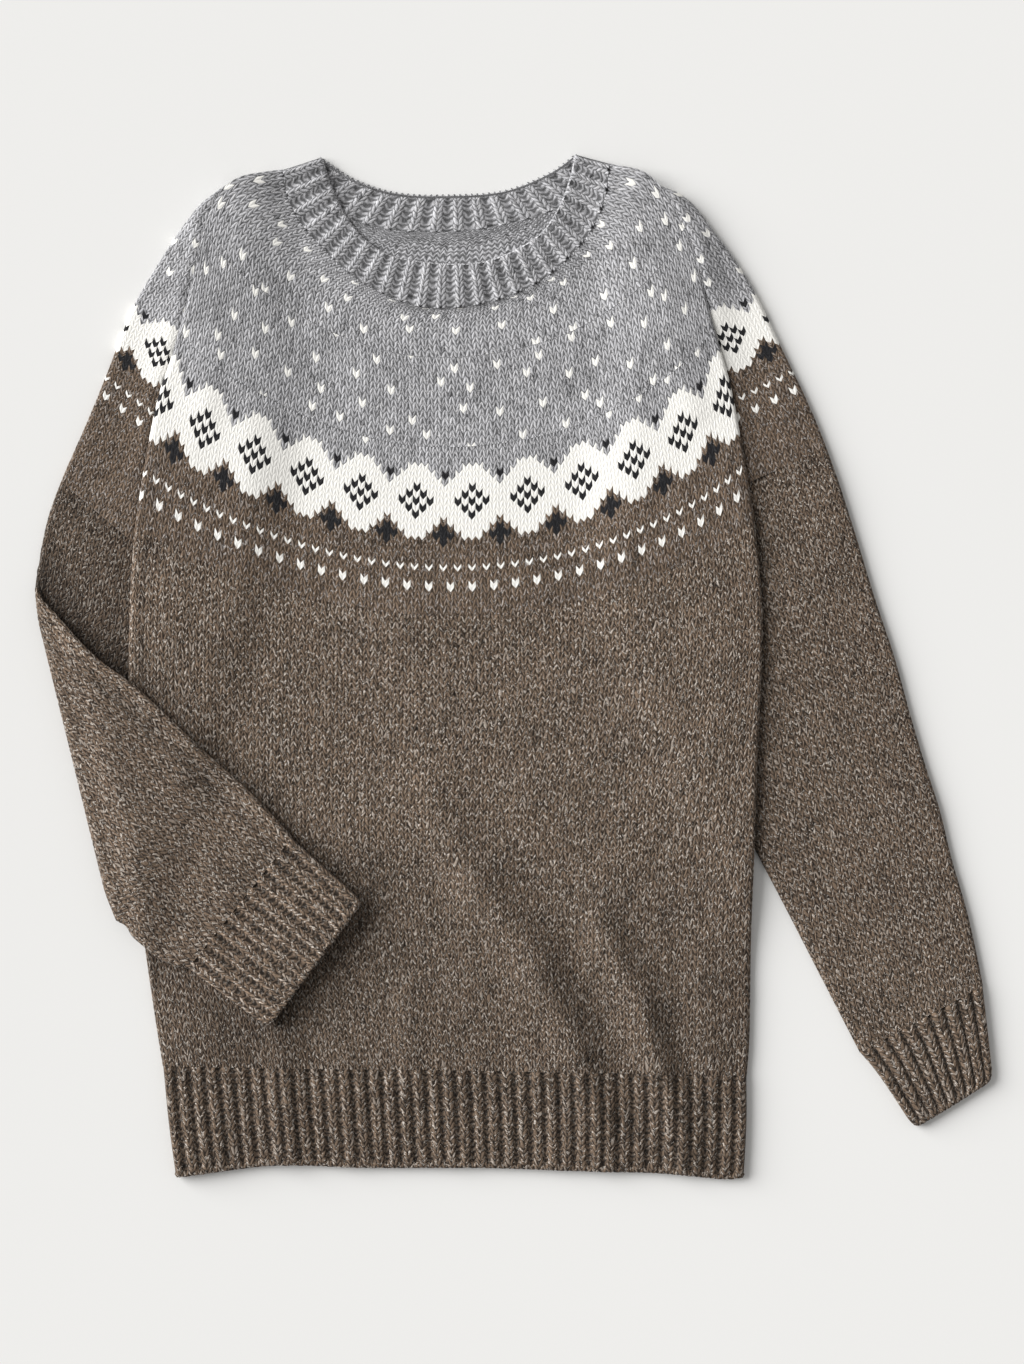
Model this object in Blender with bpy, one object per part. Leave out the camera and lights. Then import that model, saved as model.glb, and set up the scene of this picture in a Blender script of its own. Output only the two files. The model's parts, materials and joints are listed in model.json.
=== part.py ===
"""Nordic yoke sweater, knitted in the round and laid flat on its back.

The garment is built from the tubes and rings that a knitter works: neckband, round yoke, body, ribbed
hem, two sleeves and two cuffs. Lying flat, every tube has a front layer over a back layer. The sleeves
pass under the sides of the body, and the left one is folded at the elbow, so that its forearm comes
back over the body. Tables are in millimetres, with X to the right, Y towards the neck and Z up from
the surface, and make_object() turns them into metres.
"""

import math

import bmesh
import bpy
import numpy as np

MM = 0.001

# Cloth
WALL = 2.6  # thickness of the knitted cloth
SEAM = 0.3  # air between two pieces that meet
LAYER_AIR = 0.6  # further air between a front layer and its back layer, away from the edges
EDGE_ROUND = 2.6  # how far in from an edge the cloth rounds over
EDGE_STEPS = (0.0, 0.8, EDGE_ROUND)  # distances from an edge at which its rounding has points
EDGE_LEAST = 0.35  # share of the wall that is left at the very edge
CREASE_WALL = 0.45  # share of the wall by which a tube's inside stays clear of its side crease

# Flattened tubes
TUBE_SLOT = 0.8  # air between the two layers of a sleeve
TUBE_HEIGHT = 2 * WALL + TUBE_SLOT
TORSO_HEIGHT = 2 * WALL + SEAM + LAYER_AIR
CLEARANCE = 0.4  # air under cloth that lies on other cloth
SLEEVE_LIFT = TUBE_HEIGHT + CLEARANCE  # height of the body where it lies over a sleeve
LIFT_MARGIN = 6.0  # the body stays at that height this far past the sleeve's inner edge
LIFT_RAMP = 45.0  # and comes down to the surface over this length

# Elbow fold of the left sleeve
FOLD_SLACK = 1.0  # inner radius of the fold
FOLD_AXIS_Z = TUBE_HEIGHT + FOLD_SLACK
FOLD_STEPS = 8
FOREARM_RAMP = 22.0  # the forearm climbs onto the body over this length
FOREARM_GAP = 0.9  # air between forearm and body

# Ribs: each has a raised half and a sunk half
POINTS_PER_RIB = 4
RIB_RELIEF = 0.9
HEM_RIBS = 40
CUFF_RIBS = 11
CUFF_SPANS = CUFF_RIBS * POINTS_PER_RIB
NECK_RIBS_FRONT = 24
NECK_RIBS_BACK = 16
COVERED_SHARE = 0.2  # share of the back neckband at each end that lies under the front one
RIB_FADE = 0.05  # share of the width over which the ribs die away there

# Sampling of the curves
SPLINE_STEPS = 12  # fine steps between two given points
FINE_POINTS = 97  # points across a row before it is spaced out evenly

# Plan curves, as X and Y
NECK_OPENING_FRONT = (
    (-132, 356), (-125, 335), (-117, 318), (-105, 301), (-87, 288), (-65, 283), (-42, 281),
    (-21, 282), (0, 289), (21, 302), (34, 321), (42, 342), (45, 358),
)
NECK_SEAM_FRONT = (
    (-159, 347), (-156, 329), (-146, 309), (-129, 290), (-112, 274), (-93, 262), (-68, 252),
    (-45, 250), (-20, 253), (3, 260), (24, 271), (41, 286), (56, 304), (66, 327), (69, 351),
)
NECK_OPENING_BACK = (
    (-132, 356), (-122, 349), (-109, 341), (-87, 333), (-65, 330), (-40, 330), (-17, 331),
    (3, 335), (28, 346), (45, 358),
)
NECK_SEAM_BACK = (
    (-159, 347), (-137, 326), (-110, 312), (-80, 305), (-40, 304), (-4, 309), (27, 318),
    (53, 332), (69, 351),
)
YOKE_CREASE_LEFT = (
    (-159, 347), (-189, 338), (-210, 316), (-222, 268), (-235, 220), (-246, 186), (-255, 141),
    (-262, 96),
)
YOKE_CREASE_RIGHT = (
    (69, 351), (98, 341), (122, 304), (133, 268), (142, 235), (153, 197), (162, 150), (170, 101),
)
YOKE_EDGE = (
    (-262, 96), (-222, 76), (-181, 60), (-124, 44), (-68, 36), (-12, 36), (46, 45), (100, 62),
    (140, 81), (170, 101),
)
BODY_SIDE_LEFT = (
    (-262, 96), (-265, 50), (-266, 0), (-266, -66), (-262, -136), (-255, -197), (-249, -241),
    (-243, -279),
)
BODY_SIDE_RIGHT = (
    (170, 101), (175, 46), (175, 4), (172, -66), (170, -127), (168, -183), (167, -255), (165, -286),
)
HEM_TOP = ((-243, -279), (-147, -281), (-42, -282), (63, -284), (165, -286))
HEM_SIDE_LEFT = ((-243, -279), (-239, -320), (-234, -357))
HEM_SIDE_RIGHT = ((165, -286), (165, -320), (163, -357))
HEM_EDGE = (
    (-234, -357), (-183, -350), (-155, -348), (-100, -350), (-23, -350), (40, -352), (107, -354),
    (147, -358), (163, -357),
)

# Sleeves laid flat, one row for each section: outer edge X and Y, inner edge X and Y
SLEEVE_RIGHT = (
    (106, 335, 98, 321),
    (124, 326, 100, 296),
    (142, 304, 101, 262),
    (158, 282, 100, 228),
    (173, 257, 99, 196),
    (190, 221, 97, 160),
    (210, 179, 94, 120),
    (226, 138, 91, 82),
    (241, 92, 93, 40),
    (254, 49, 103, 12),
    (268, 7, 119, -23),
    (279, -33, 135, -57),
    (290, -70, 152, -92),
    (300, -101, 170, -127),
    (308, -134, 190, -165),
    (318, -168, 209, -202),
    (325, -198, 228, -239),
    (330, -223, 244, -270),
)
CUFF_RIGHT = ((330, -223, 244, -270), (333, -249, 258, -287), (337, -289, 282, -323))
SLEEVE_LEFT = (
    (-206, 331, -196, 318),
    (-218, 321, -195, 298),
    (-234, 300, -193, 262),
    (-250, 275, -192, 228),
    (-265, 248, -192, 186),
    (-283, 202, -193, 138),
    (-297, 168, -196, 92),
    (-312, 134, -203, 44),
    (-323, 104, -222, -12),
    (-331, 67, -274, -165),
)
FOREARM_LEFT = (
    (-331, 67, -274, -165),
    (-312, 27, -270, -180),
    (-290, 8, -264, -188),
    (-262, -13, -256, -195),
    (-235, -38, -248, -202),
    (-209, -63, -240, -207),
    (-178, -91, -233, -210),
    (-152, -119, -225, -211),
)
CUFF_LEFT = ((-152, -119, -225, -211), (-127, -141, -198, -231), (-102, -163, -169, -252))
# Share of each sleeve table at which the round yoke ends and the plain sleeve begins
YOKE_SHARE_RIGHT = 0.36
YOKE_SHARE_LEFT = 0.62

# Soft folds of the front layer: both ends, half width and height
FOLDS = (
    {"start": (-60, -88), "end": (-26, -150), "half_width": 17, "height": 2.8},
    {"start": (-26, -150), "end": (18, -210), "half_width": 16, "height": 4.6},
    {"start": (18, -210), "end": (46, -270), "half_width": 14, "height": 4.8},
    {"start": (46, -270), "end": (60, -315), "half_width": 13, "height": 3.4},
    {"start": (60, -315), "end": (66, -350), "half_width": 12, "height": 2.6},
    {"start": (62, -177), "end": (92, -240), "half_width": 12, "height": 4.2},
    {"start": (92, -240), "end": (104, -280), "half_width": 11, "height": 4.6},
    {"start": (104, -280), "end": (122, -345), "half_width": 10, "height": 3.6},
    {"start": (-160, -258), "end": (-156, -348), "half_width": 12, "height": 3.6},
    {"start": (-205, 260), "end": (-212, 180), "half_width": 12, "height": 1.6},
    {"start": (108, 262), "end": (126, 180), "half_width": 12, "height": 1.6},
)

# Wool colours, linear RGB
GREY_WOOL = (0.35, 0.35, 0.36, 1.0)
BROWN_WOOL = (0.13, 0.10, 0.08, 1.0)


def smoothstep(value):
    """Ease from 0 to 1 while value goes from 0 to 1."""
    t = np.clip(value, 0.0, 1.0)
    return t * t * (3.0 - 2.0 * t)


def spline(points, shares):
    """Sample a smooth curve through points at shares of its length."""
    knots = np.asarray(points, dtype=float)
    ends = np.vstack([2 * knots[0] - knots[1], knots, 2 * knots[-1] - knots[-2]])
    steps = np.linspace(0.0, 1.0, SPLINE_STEPS + 1)[:-1, None]
    fine = []
    for a, b, c, d in zip(ends, ends[1:], ends[2:], ends[3:]):
        square = 2 * a - 5 * b + 4 * c - d
        cube = 3 * b - a - 3 * c + d
        fine.append(0.5 * (2 * b + (c - a) * steps + square * steps**2 + cube * steps**3))
    fine = np.vstack(fine + [knots[-1:]])
    length = np.concatenate([[0.0], np.cumsum(np.linalg.norm(np.diff(fine, axis=0), axis=1))])
    at = np.asarray(shares) * length[-1]
    return np.column_stack([np.interp(at, length, column) for column in fine.T])


def patch(top, bottom, left, right, across, down):
    """Blend four plan curves into a grid of rows from top to bottom."""
    u = np.asarray(across)[None, :, None]
    v = np.asarray(down)[:, None, None]
    rows = (1 - v) * spline(top, across)[None] + v * spline(bottom, across)[None]
    columns = (1 - u) * spline(left, down)[:, None] + u * spline(right, down)[:, None]
    corners = np.array([[top[0], top[-1]], [bottom[0], bottom[-1]]], dtype=float)
    bilinear = (1 - v) * ((1 - u) * corners[0, 0] + u * corners[0, 1])
    bilinear = bilinear + v * ((1 - u) * corners[1, 0] + u * corners[1, 1])
    return rows + columns - bilinear


def resample(row, distances):
    """Place points along a polyline at distances from its start."""
    length = np.concatenate([[0.0], np.cumsum(np.linalg.norm(np.diff(row, axis=0), axis=1))])
    return np.column_stack([np.interp(distances, length, column) for column in row.T])


def edge_distances(total, count):
    """Distances along a row with the rounding's points at both ends and count spans between."""
    inner = np.linspace(EDGE_ROUND, total - EDGE_ROUND, count + 1)[1:-1]
    steps = np.array(EDGE_STEPS)
    return np.concatenate([steps, inner, total - steps[::-1]])


def edge_profile(distance):
    """Share of the wall that is left at a distance from a rounded edge."""
    t = np.clip(np.asarray(distance) / EDGE_ROUND, 0.0, 1.0)
    return EDGE_LEAST + (1 - EDGE_LEAST) * np.sqrt(1 - (1 - t) ** 2)


def inner_edge_x(table, y):
    """X of a sleeve's inner edge at the height y on the plan, carried on past its ends."""
    rows = sorted((row[3], row[2]) for row in table)
    heights = [row[0] for row in rows]
    places = [row[1] for row in rows]
    slope = (places[1] - places[0]) / (heights[1] - heights[0])
    below = places[0] + slope * (np.asarray(y) - heights[0])
    return np.where(np.asarray(y) < heights[0], below, np.interp(y, heights, places))


def body_lift(x, y):
    """Height of the body's underside: raised over the sleeves and on the surface between them."""
    from_left = x - inner_edge_x(SLEEVE_LEFT, y)
    from_right = inner_edge_x(SLEEVE_RIGHT, y) - x
    inward = np.minimum(from_left, from_right)
    return SLEEVE_LIFT * (1 - smoothstep((inward - LIFT_MARGIN) / LIFT_RAMP))


def fold_height(x, y):
    """Height that the soft folds add to the front layer."""
    total = np.zeros_like(np.asarray(x, dtype=float))
    for fold in FOLDS:
        start = np.array(fold["start"], dtype=float)
        along = np.array(fold["end"], dtype=float) - start
        share = ((x - start[0]) * along[0] + (y - start[1]) * along[1]) / (along @ along)
        share = np.clip(share, 0.0, 1.0)
        off = np.hypot(x - start[0] - share * along[0], y - start[1] - share * along[1])
        ridge = fold["height"] * np.exp(-((off / fold["half_width"]) ** 2))
        total = np.maximum(total, ridge)
    return total


def rib_wave(count, relief):
    """Heights across a ribbed piece: two raised points, then two sunk ones, for each rib."""
    index = np.arange(count * POINTS_PER_RIB + 1)
    raised = (index % POINTS_PER_RIB == 1) | (index % POINTS_PER_RIB == 2)
    return relief * raised


class Panel:
    """One layer of a flattened ring of cloth, as a grid of rows and columns on the plan."""

    def __init__(self, top, bottom, left, right, columns, rows, ribs=0, free_top=False, free_bottom=False):
        """Lay the grid out.

        top, bottom, left and right are plan curves. columns and rows are the grid's spans. ribs is
        the number of raised ribs across. A free edge is rounded, and others keep half a seam.
        """
        self.ribs = ribs
        height = float(np.linalg.norm(np.subtract(left[-1], left[0])))
        spans = ribs * POINTS_PER_RIB if ribs else columns
        from_top = EDGE_STEPS if free_top else (SEAM / 2,)
        from_bottom = EDGE_STEPS if free_bottom else (SEAM / 2,)
        middle = np.linspace(from_top[-1], height - from_bottom[-1], rows + 1)[1:-1]
        downs = np.concatenate([from_top, middle, height - np.array(from_bottom)[::-1]])
        fine = patch(top, bottom, left, right, np.linspace(0, 1, FINE_POINTS), downs / height)
        plan = []
        profile = []
        sides = []
        for row, down in zip(fine, downs):
            total = float(np.sum(np.linalg.norm(np.diff(row, axis=0), axis=1)))
            across = edge_distances(total, spans)
            plan.append(resample(row, across))
            share = edge_profile(np.minimum(across, total - across))
            sides.append((share - EDGE_LEAST) / (1 - EDGE_LEAST))
            if free_top:
                share = share * edge_profile(down)
            if free_bottom:
                share = share * edge_profile(height - down)
            profile.append(share)
        self.x, self.y = np.moveaxis(np.array(plan), 2, 0)
        self.profile = np.array(profile)
        self.inside = np.clip(sides, 0.0, 1.0)

    def relief(self, amount, plain_ends=0.0):
        """Height of the ribs over the grid, which fade out at rounded edges and towards plain ends."""
        wave = rib_wave(self.ribs, amount)
        pad = len(EDGE_STEPS) - 1
        row = np.concatenate([np.zeros(pad), wave, np.zeros(pad)])
        share = np.linspace(0.0, 1.0, len(row))
        inward = np.minimum(share, 1.0 - share)
        if plain_ends:
            row = row * smoothstep((inward - plain_ends) / RIB_FADE)
        fade = (self.profile - EDGE_LEAST) / (1 - EDGE_LEAST)
        return row[None, :] * np.clip(fade, 0.0, 1.0)

    def back(self, ribbed_inside=False):
        """Lower and upper surface of a back layer, whose underside rounds at the edges."""
        lift = body_lift(self.x, self.y)
        upper = lift + WALL
        lower = upper - WALL * self.profile
        if ribbed_inside:
            upper = upper + self.relief(RIB_RELIEF, COVERED_SHARE)
        return lower, upper

    def front(self):
        """Lower and upper surface of a front layer, which lies on the back layer."""
        lower = body_lift(self.x, self.y) + WALL + SEAM
        loft = LAYER_AIR + fold_height(self.x, self.y)
        lower = lower + loft * smoothstep(self.inside)
        upper = lower + WALL * self.profile
        if self.ribs:
            upper = upper + self.relief(RIB_RELIEF)
        return lower, upper

    def solid(self, name, lower, upper, colour):
        """Close the space between the two surfaces into a named object."""
        rows, columns = self.x.shape
        points = [np.stack([self.x, self.y, height], axis=2).reshape(-1, 3) for height in (lower, upper)]
        index = np.arange(rows * columns).reshape(rows, columns)
        above = index + rows * columns
        faces = []
        for i in range(rows - 1):
            for j in range(columns - 1):
                faces.append((index[i, j], index[i, j + 1], index[i + 1, j + 1], index[i + 1, j]))
                faces.append((above[i, j], above[i + 1, j], above[i + 1, j + 1], above[i, j + 1]))
        rim = list(index[0, :-1]) + list(index[:-1, -1]) + list(index[-1, :0:-1]) + list(index[:0:-1, 0])
        shift = rows * columns
        for a, b in zip(rim, rim[1:] + rim[:1]):
            faces.append((b, a, a + shift, b + shift))
        return make_object(name, np.vstack(points), faces, colour)


def ring(section, over_spans, under_spans, ribs_on=0):
    """One section of a flattened tube, as plan points and heights for its outer and inner wall.

    section holds the outer and the inner edge. Both loops run over the upper layer from the outer
    edge to the inner one, and back under the lower layer. ribs_on is 1 for ribs raised on the upper
    layer, -1 for ribs on the lower one and 0 for none.
    """
    start = np.array(section[:2], dtype=float)
    end = np.array(section[2:], dtype=float)
    width = float(np.linalg.norm(end - start))
    radius = WALL + TUBE_SLOT / 2
    over = edge_distances(width, over_spans)
    under = edge_distances(width, under_spans)[-2:0:-1]
    along = np.concatenate([over, under])
    side = np.concatenate([np.ones(len(over)), -np.ones(len(under))])
    reach = np.clip(np.minimum(along, width - along) / radius, 0.0, 1.0)
    half = radius * np.sqrt(1 - (1 - reach) ** 2)
    height = radius + side * half
    if ribs_on:
        wave = rib_wave(CUFF_RIBS, RIB_RELIEF)
        first = len(EDGE_STEPS) - 1 if ribs_on > 0 else len(over) + 1
        height[first : first + len(wave)] += ribs_on * wave
    # The inner wall keeps the wall's thickness from the outer one, in the plan and in height
    inset = WALL * (1 - smoothstep(reach)) + CREASE_WALL * reach * WALL * (reach < 1)
    inner_along = np.where(along < width / 2, along + inset, along - inset)
    inner_half = TUBE_SLOT / 2 * np.sqrt(reach)
    inner_height = radius + side * inner_half
    direction = (end - start) / width
    outer = np.column_stack([start + along[:, None] * direction, height])
    inner = np.column_stack([start + inner_along[:, None] * direction, inner_height])
    return outer, inner


def rings_between(table, first, last, count):
    """Sections of a sleeve table at even shares from first to last."""
    return spline(table, np.linspace(first, last, count + 1))


def nudge(section, towards, distance):
    """Move a section a short distance towards another."""
    gap = np.subtract(towards, section)
    length = max(np.linalg.norm(gap[:2]), np.linalg.norm(gap[2:]))
    return np.asarray(section, dtype=float) + gap * distance / length


def open_seams(sections):
    """Shorten a run of sections by half a seam at each end."""
    run = [np.asarray(section, dtype=float) for section in sections]
    run[0] = nudge(run[0], run[1], SEAM / 2)
    run[-1] = nudge(run[-1], run[-2], SEAM / 2)
    return run


def flat(points):
    """Leave a section where it lies."""
    return points


def folded(angle):
    """Bend that carries a section of the left sleeve round the elbow fold by an angle."""
    crease = np.array(SLEEVE_LEFT[-1][2:], dtype=float) - np.array(SLEEVE_LEFT[-1][:2], dtype=float)
    outward = np.array([crease[1], -crease[0]]) / np.linalg.norm(crease)

    def bend(points):
        radius = FOLD_AXIS_Z - points[:, 2]
        plan = points[:, :2] + outward * (radius * math.sin(angle))[:, None]
        return np.column_stack([plan, FOLD_AXIS_Z - radius * math.cos(angle)])

    return bend


def over_body(points):
    """Turn a section of the forearm over and lay it on the body."""
    crease = np.array(SLEEVE_LEFT[-1][2:], dtype=float) - np.array(SLEEVE_LEFT[-1][:2], dtype=float)
    inward = np.array([-crease[1], crease[0]]) / np.linalg.norm(crease)
    past = (points[:, :2] - np.array(SLEEVE_LEFT[-1][:2])) @ inward
    low = FOLD_AXIS_Z + FOLD_SLACK
    high = body_lift(points[:, 0], points[:, 1]) + TORSO_HEIGHT + FOREARM_GAP
    high = high + fold_height(points[:, 0], points[:, 1])
    rest = low + (high - low) * smoothstep(past / FOREARM_RAMP)
    return np.column_stack([points[:, :2], rest + TUBE_HEIGHT - points[:, 2]])


def tube(name, stations, colour, over_spans=8, under_spans=8, ribs_on=0):
    """Skin a run of (section, placing) stations into a tube that is open at both ends."""
    outer = []
    inner = []
    for section, place in stations:
        wall = ring(section, over_spans, under_spans, ribs_on)
        outer.append(place(wall[0]))
        inner.append(place(wall[1]))
    around = len(outer[0])
    count = len(outer)
    points = np.vstack(outer + inner)
    faces = []
    for k in range(around):
        n = (k + 1) % around
        for i in range(count - 1):
            a = i * around
            b = (i + 1) * around
            faces.append((a + k, b + k, b + n, a + n))
            faces.append(tuple(count * around + f for f in (a + n, b + n, b + k, a + k)))
        last = (count - 1) * around
        faces.append((n, count * around + n, count * around + k, k))
        faces.append((last + k, count * around + last + k, count * around + last + n, last + n))
    return make_object(name, points, faces, colour)


def wool(name, colour):
    """Plain matt wool material."""
    material = bpy.data.materials.new(name)
    material.use_nodes = True
    shader = material.node_tree.nodes["Principled BSDF"]
    shader.inputs["Base Color"].default_value = colour
    shader.inputs["Roughness"].default_value = 0.9
    shader.inputs["Metallic"].default_value = 0.0
    return material


def make_object(name, points, faces, colour):
    """Turn points in millimetres and faces into a closed, smooth shaded object."""
    mesh = bpy.data.meshes.new(name)
    mesh.from_pydata((points * MM).tolist(), [], [tuple(int(i) for i in face) for face in faces])
    build = bmesh.new()
    build.from_mesh(mesh)
    bmesh.ops.recalc_face_normals(build, faces=build.faces)
    build.to_mesh(mesh)
    build.free()
    mesh.shade_smooth()
    mesh.set_sharp_from_angle(angle=math.radians(50))
    mesh.materials.append(wool(name + "_wool", colour))
    item = bpy.data.objects.new(name, mesh)
    bpy.context.scene.collection.objects.link(item)
    return item


def clear_scene():
    """Remove the objects that a new scene starts with."""
    for item in list(bpy.data.objects):
        bpy.data.objects.remove(item, do_unlink=True)


def build_neckband():
    """Ribbed crew neckband, whose back shows its inside through the neck opening."""
    left = (NECK_OPENING_FRONT[0], NECK_SEAM_FRONT[0])
    right = (NECK_OPENING_FRONT[-1], NECK_SEAM_FRONT[-1])
    front = Panel(
        NECK_OPENING_FRONT, NECK_SEAM_FRONT, left, right, 0, 2, ribs=NECK_RIBS_FRONT, free_top=True
    )
    front.solid("neckband_front", *front.front(), GREY_WOOL)
    back = Panel(NECK_OPENING_BACK, NECK_SEAM_BACK, left, right, 0, 2, ribs=NECK_RIBS_BACK, free_top=True)
    back.solid("neckband_back", *back.back(ribbed_inside=True), GREY_WOOL)


def build_yoke():
    """Round yoke between the neckband and the last patterned round, front and back."""
    front = Panel(NECK_SEAM_FRONT, YOKE_EDGE, YOKE_CREASE_LEFT, YOKE_CREASE_RIGHT, 40, 8)
    front.solid("yoke_front", *front.front(), GREY_WOOL)
    back = Panel(NECK_SEAM_BACK, YOKE_EDGE, YOKE_CREASE_LEFT, YOKE_CREASE_RIGHT, 40, 8)
    back.solid("yoke_back", *back.back(), GREY_WOOL)


def build_body():
    """Body tube from the yoke to the ribbed hem, front and back."""
    front = Panel(YOKE_EDGE, HEM_TOP, BODY_SIDE_LEFT, BODY_SIDE_RIGHT, 28, 16)
    front.solid("body_front", *front.front(), BROWN_WOOL)
    back = Panel(YOKE_EDGE, HEM_TOP, BODY_SIDE_LEFT, BODY_SIDE_RIGHT, 28, 16)
    back.solid("body_back", *back.back(), BROWN_WOOL)


def build_hem():
    """Ribbed hem; the back layer lies on the surface and is plain beneath."""
    front = Panel(
        HEM_TOP, HEM_EDGE, HEM_SIDE_LEFT, HEM_SIDE_RIGHT, 0, 2, ribs=HEM_RIBS, free_bottom=True
    )
    front.solid("hem_rib_front", *front.front(), BROWN_WOOL)
    back = Panel(HEM_TOP, HEM_EDGE, HEM_SIDE_LEFT, HEM_SIDE_RIGHT, 40, 2, free_bottom=True)
    back.solid("hem_rib_back", *back.back(), BROWN_WOOL)


def build_sleeve_right():
    """Right sleeve beside the body, from the yoke's shoulder stretch to the cuff."""
    yoke = open_seams(rings_between(SLEEVE_RIGHT, 0.0, YOKE_SHARE_RIGHT, 8))
    tube("yoke_side_right", [(section, flat) for section in yoke], GREY_WOOL)
    sleeve = open_seams(rings_between(SLEEVE_RIGHT, YOKE_SHARE_RIGHT, 1.0, 11))
    tube("sleeve_right", [(section, flat) for section in sleeve], BROWN_WOOL)
    cuff = open_seams(rings_between(CUFF_RIGHT, 0.0, 1.0, 3))
    tube("cuff_right", [(section, flat) for section in cuff], BROWN_WOOL, CUFF_SPANS, 8, ribs_on=1)


def build_sleeve_left():
    """Left sleeve, folded at the elbow so that the forearm lies on the body."""
    yoke = open_seams(rings_between(SLEEVE_LEFT, 0.0, YOKE_SHARE_LEFT, 8))
    tube("yoke_side_left", [(section, flat) for section in yoke], GREY_WOOL)
    upper = rings_between(SLEEVE_LEFT, YOKE_SHARE_LEFT, 1.0, 6)
    upper[0] = nudge(upper[0], upper[1], SEAM / 2)
    stations = [(section, flat) for section in upper]
    for step in range(1, FOLD_STEPS):
        stations.append((SLEEVE_LEFT[-1], folded(math.pi * step / FOLD_STEPS)))
    forearm = rings_between(FOREARM_LEFT, 0.0, 1.0, 13)
    forearm[-1] = nudge(forearm[-1], forearm[-2], SEAM / 2)
    stations += [(section, over_body) for section in forearm]
    tube("sleeve_left", stations, BROWN_WOOL, 10, 10)
    cuff = open_seams(rings_between(CUFF_LEFT, 0.0, 1.0, 3))
    tube("cuff_left", [(section, over_body) for section in cuff], BROWN_WOOL, 8, CUFF_SPANS, ribs_on=-1)


def build():
    """Build every piece of the sweater."""
    clear_scene()
    build_neckband()
    build_yoke()
    build_body()
    build_hem()
    build_sleeve_right()
    build_sleeve_left()


build()
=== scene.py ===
"""Nordic yoke sweater, knitted in the round and laid flat: cloth, stitches and wool.

Each piece of the garment is a closed, thin shell of knitted cloth. Its outer face is a lattice of stitches,
with a ridge for each leg of a stitch, so that columns, ribs and the V-shaped edges of a colour change are
part of the mesh. Tables are in millimetres, with X to the right, Y towards the neck and Z up from the
surface, and the mesh builder turns them into metres.
"""

import json
import logging
import math
from dataclasses import dataclass
from enum import Enum
from typing import Callable, Optional, Sequence, Union

import bmesh
import bpy
import numpy as np
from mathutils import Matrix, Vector

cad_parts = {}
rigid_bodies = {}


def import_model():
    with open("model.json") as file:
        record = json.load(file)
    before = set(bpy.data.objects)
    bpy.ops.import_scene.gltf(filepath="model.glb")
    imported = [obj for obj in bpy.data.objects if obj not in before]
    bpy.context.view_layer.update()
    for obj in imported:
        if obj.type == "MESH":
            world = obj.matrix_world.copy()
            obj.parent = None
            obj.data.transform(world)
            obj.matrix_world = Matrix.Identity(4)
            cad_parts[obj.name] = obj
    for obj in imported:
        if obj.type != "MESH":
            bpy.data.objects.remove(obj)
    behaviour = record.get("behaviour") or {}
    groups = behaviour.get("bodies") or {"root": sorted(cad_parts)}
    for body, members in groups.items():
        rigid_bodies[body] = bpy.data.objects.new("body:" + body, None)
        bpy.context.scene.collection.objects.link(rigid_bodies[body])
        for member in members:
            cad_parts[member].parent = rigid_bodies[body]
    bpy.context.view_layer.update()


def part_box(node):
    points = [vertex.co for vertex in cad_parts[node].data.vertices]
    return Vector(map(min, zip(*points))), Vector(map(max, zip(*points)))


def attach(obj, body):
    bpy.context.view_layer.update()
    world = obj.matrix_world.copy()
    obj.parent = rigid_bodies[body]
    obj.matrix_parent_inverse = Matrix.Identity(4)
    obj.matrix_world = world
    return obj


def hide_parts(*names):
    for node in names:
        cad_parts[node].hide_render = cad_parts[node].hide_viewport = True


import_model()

LOG = logging.getLogger("sweater")
MM = 0.001
Array = np.ndarray
HeightField = Callable[[Array, Array], Array]
Shade = Callable[[Array], Array]
Bend = Callable[[Array], Array]
Curve = Sequence[Sequence[float]]

# Cloth
WALL = 2.6  # thickness of the knitted cloth
SEAM = 0.3  # air between two layers
LAYER_AIR = 0.6  # further air between a front layer and its back layer
TUBE_HEIGHT = 6.0  # a flattened sleeve
TORSO_HEIGHT = 2 * WALL + SEAM + LAYER_AIR
SLEEVE_LIFT = 6.4  # height of the body where it lies over a sleeve
LIFT_MARGIN = 6.0  # the body stays at that height this far past the sleeve's inner edge
LIFT_RAMP = 45.0  # and comes down to the surface over this length
SHOULDER_RISE = 3.0  # how much higher the yoke's crease ends at the shoulder
SHOULDER_UP = (232.0, 50.0)  # towards the neck, where that rise starts, and over which length it grows
SHOULDER_OFF_LEFT = (172.0, 14.0)  # the same to the left
SHOULDER_OFF_RIGHT = (84.0, 14.0)  # and to the right
CREASE_RADIUS = 3.2  # how far in from its side edge the torso's cloth rounds over
END_RADIUS = WALL / 2  # rounding of a free edge
MERGE_DISTANCE = 2e-6  # metres within which points of a shell are one
SHARP_ANGLE = math.radians(78)

# Elbow fold of the left sleeve
FOLD_AXIS_Z = 7.0
FOLD_LENGTH = 20.0  # cloth that goes round the fold
FOREARM_LOW = 8.0  # height of the forearm beside the fold
FOREARM_RAMP = 22.0  # it climbs onto the body over this length
FOREARM_GAP = 0.9  # air between forearm and body
FLOOR_GAP = 0.05  # the folded sleeve stays this far above the surface
BULGE_START = 0.45  # share of the fold's roundness that is left at its outer end
BULGE_START_LENGTH = 40.0
BULGE_END_LOSS = 0.5  # share that is lost at its inner end
BULGE_END = (225.0, 35.0)  # where along the crease that loss starts, and its length

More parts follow.
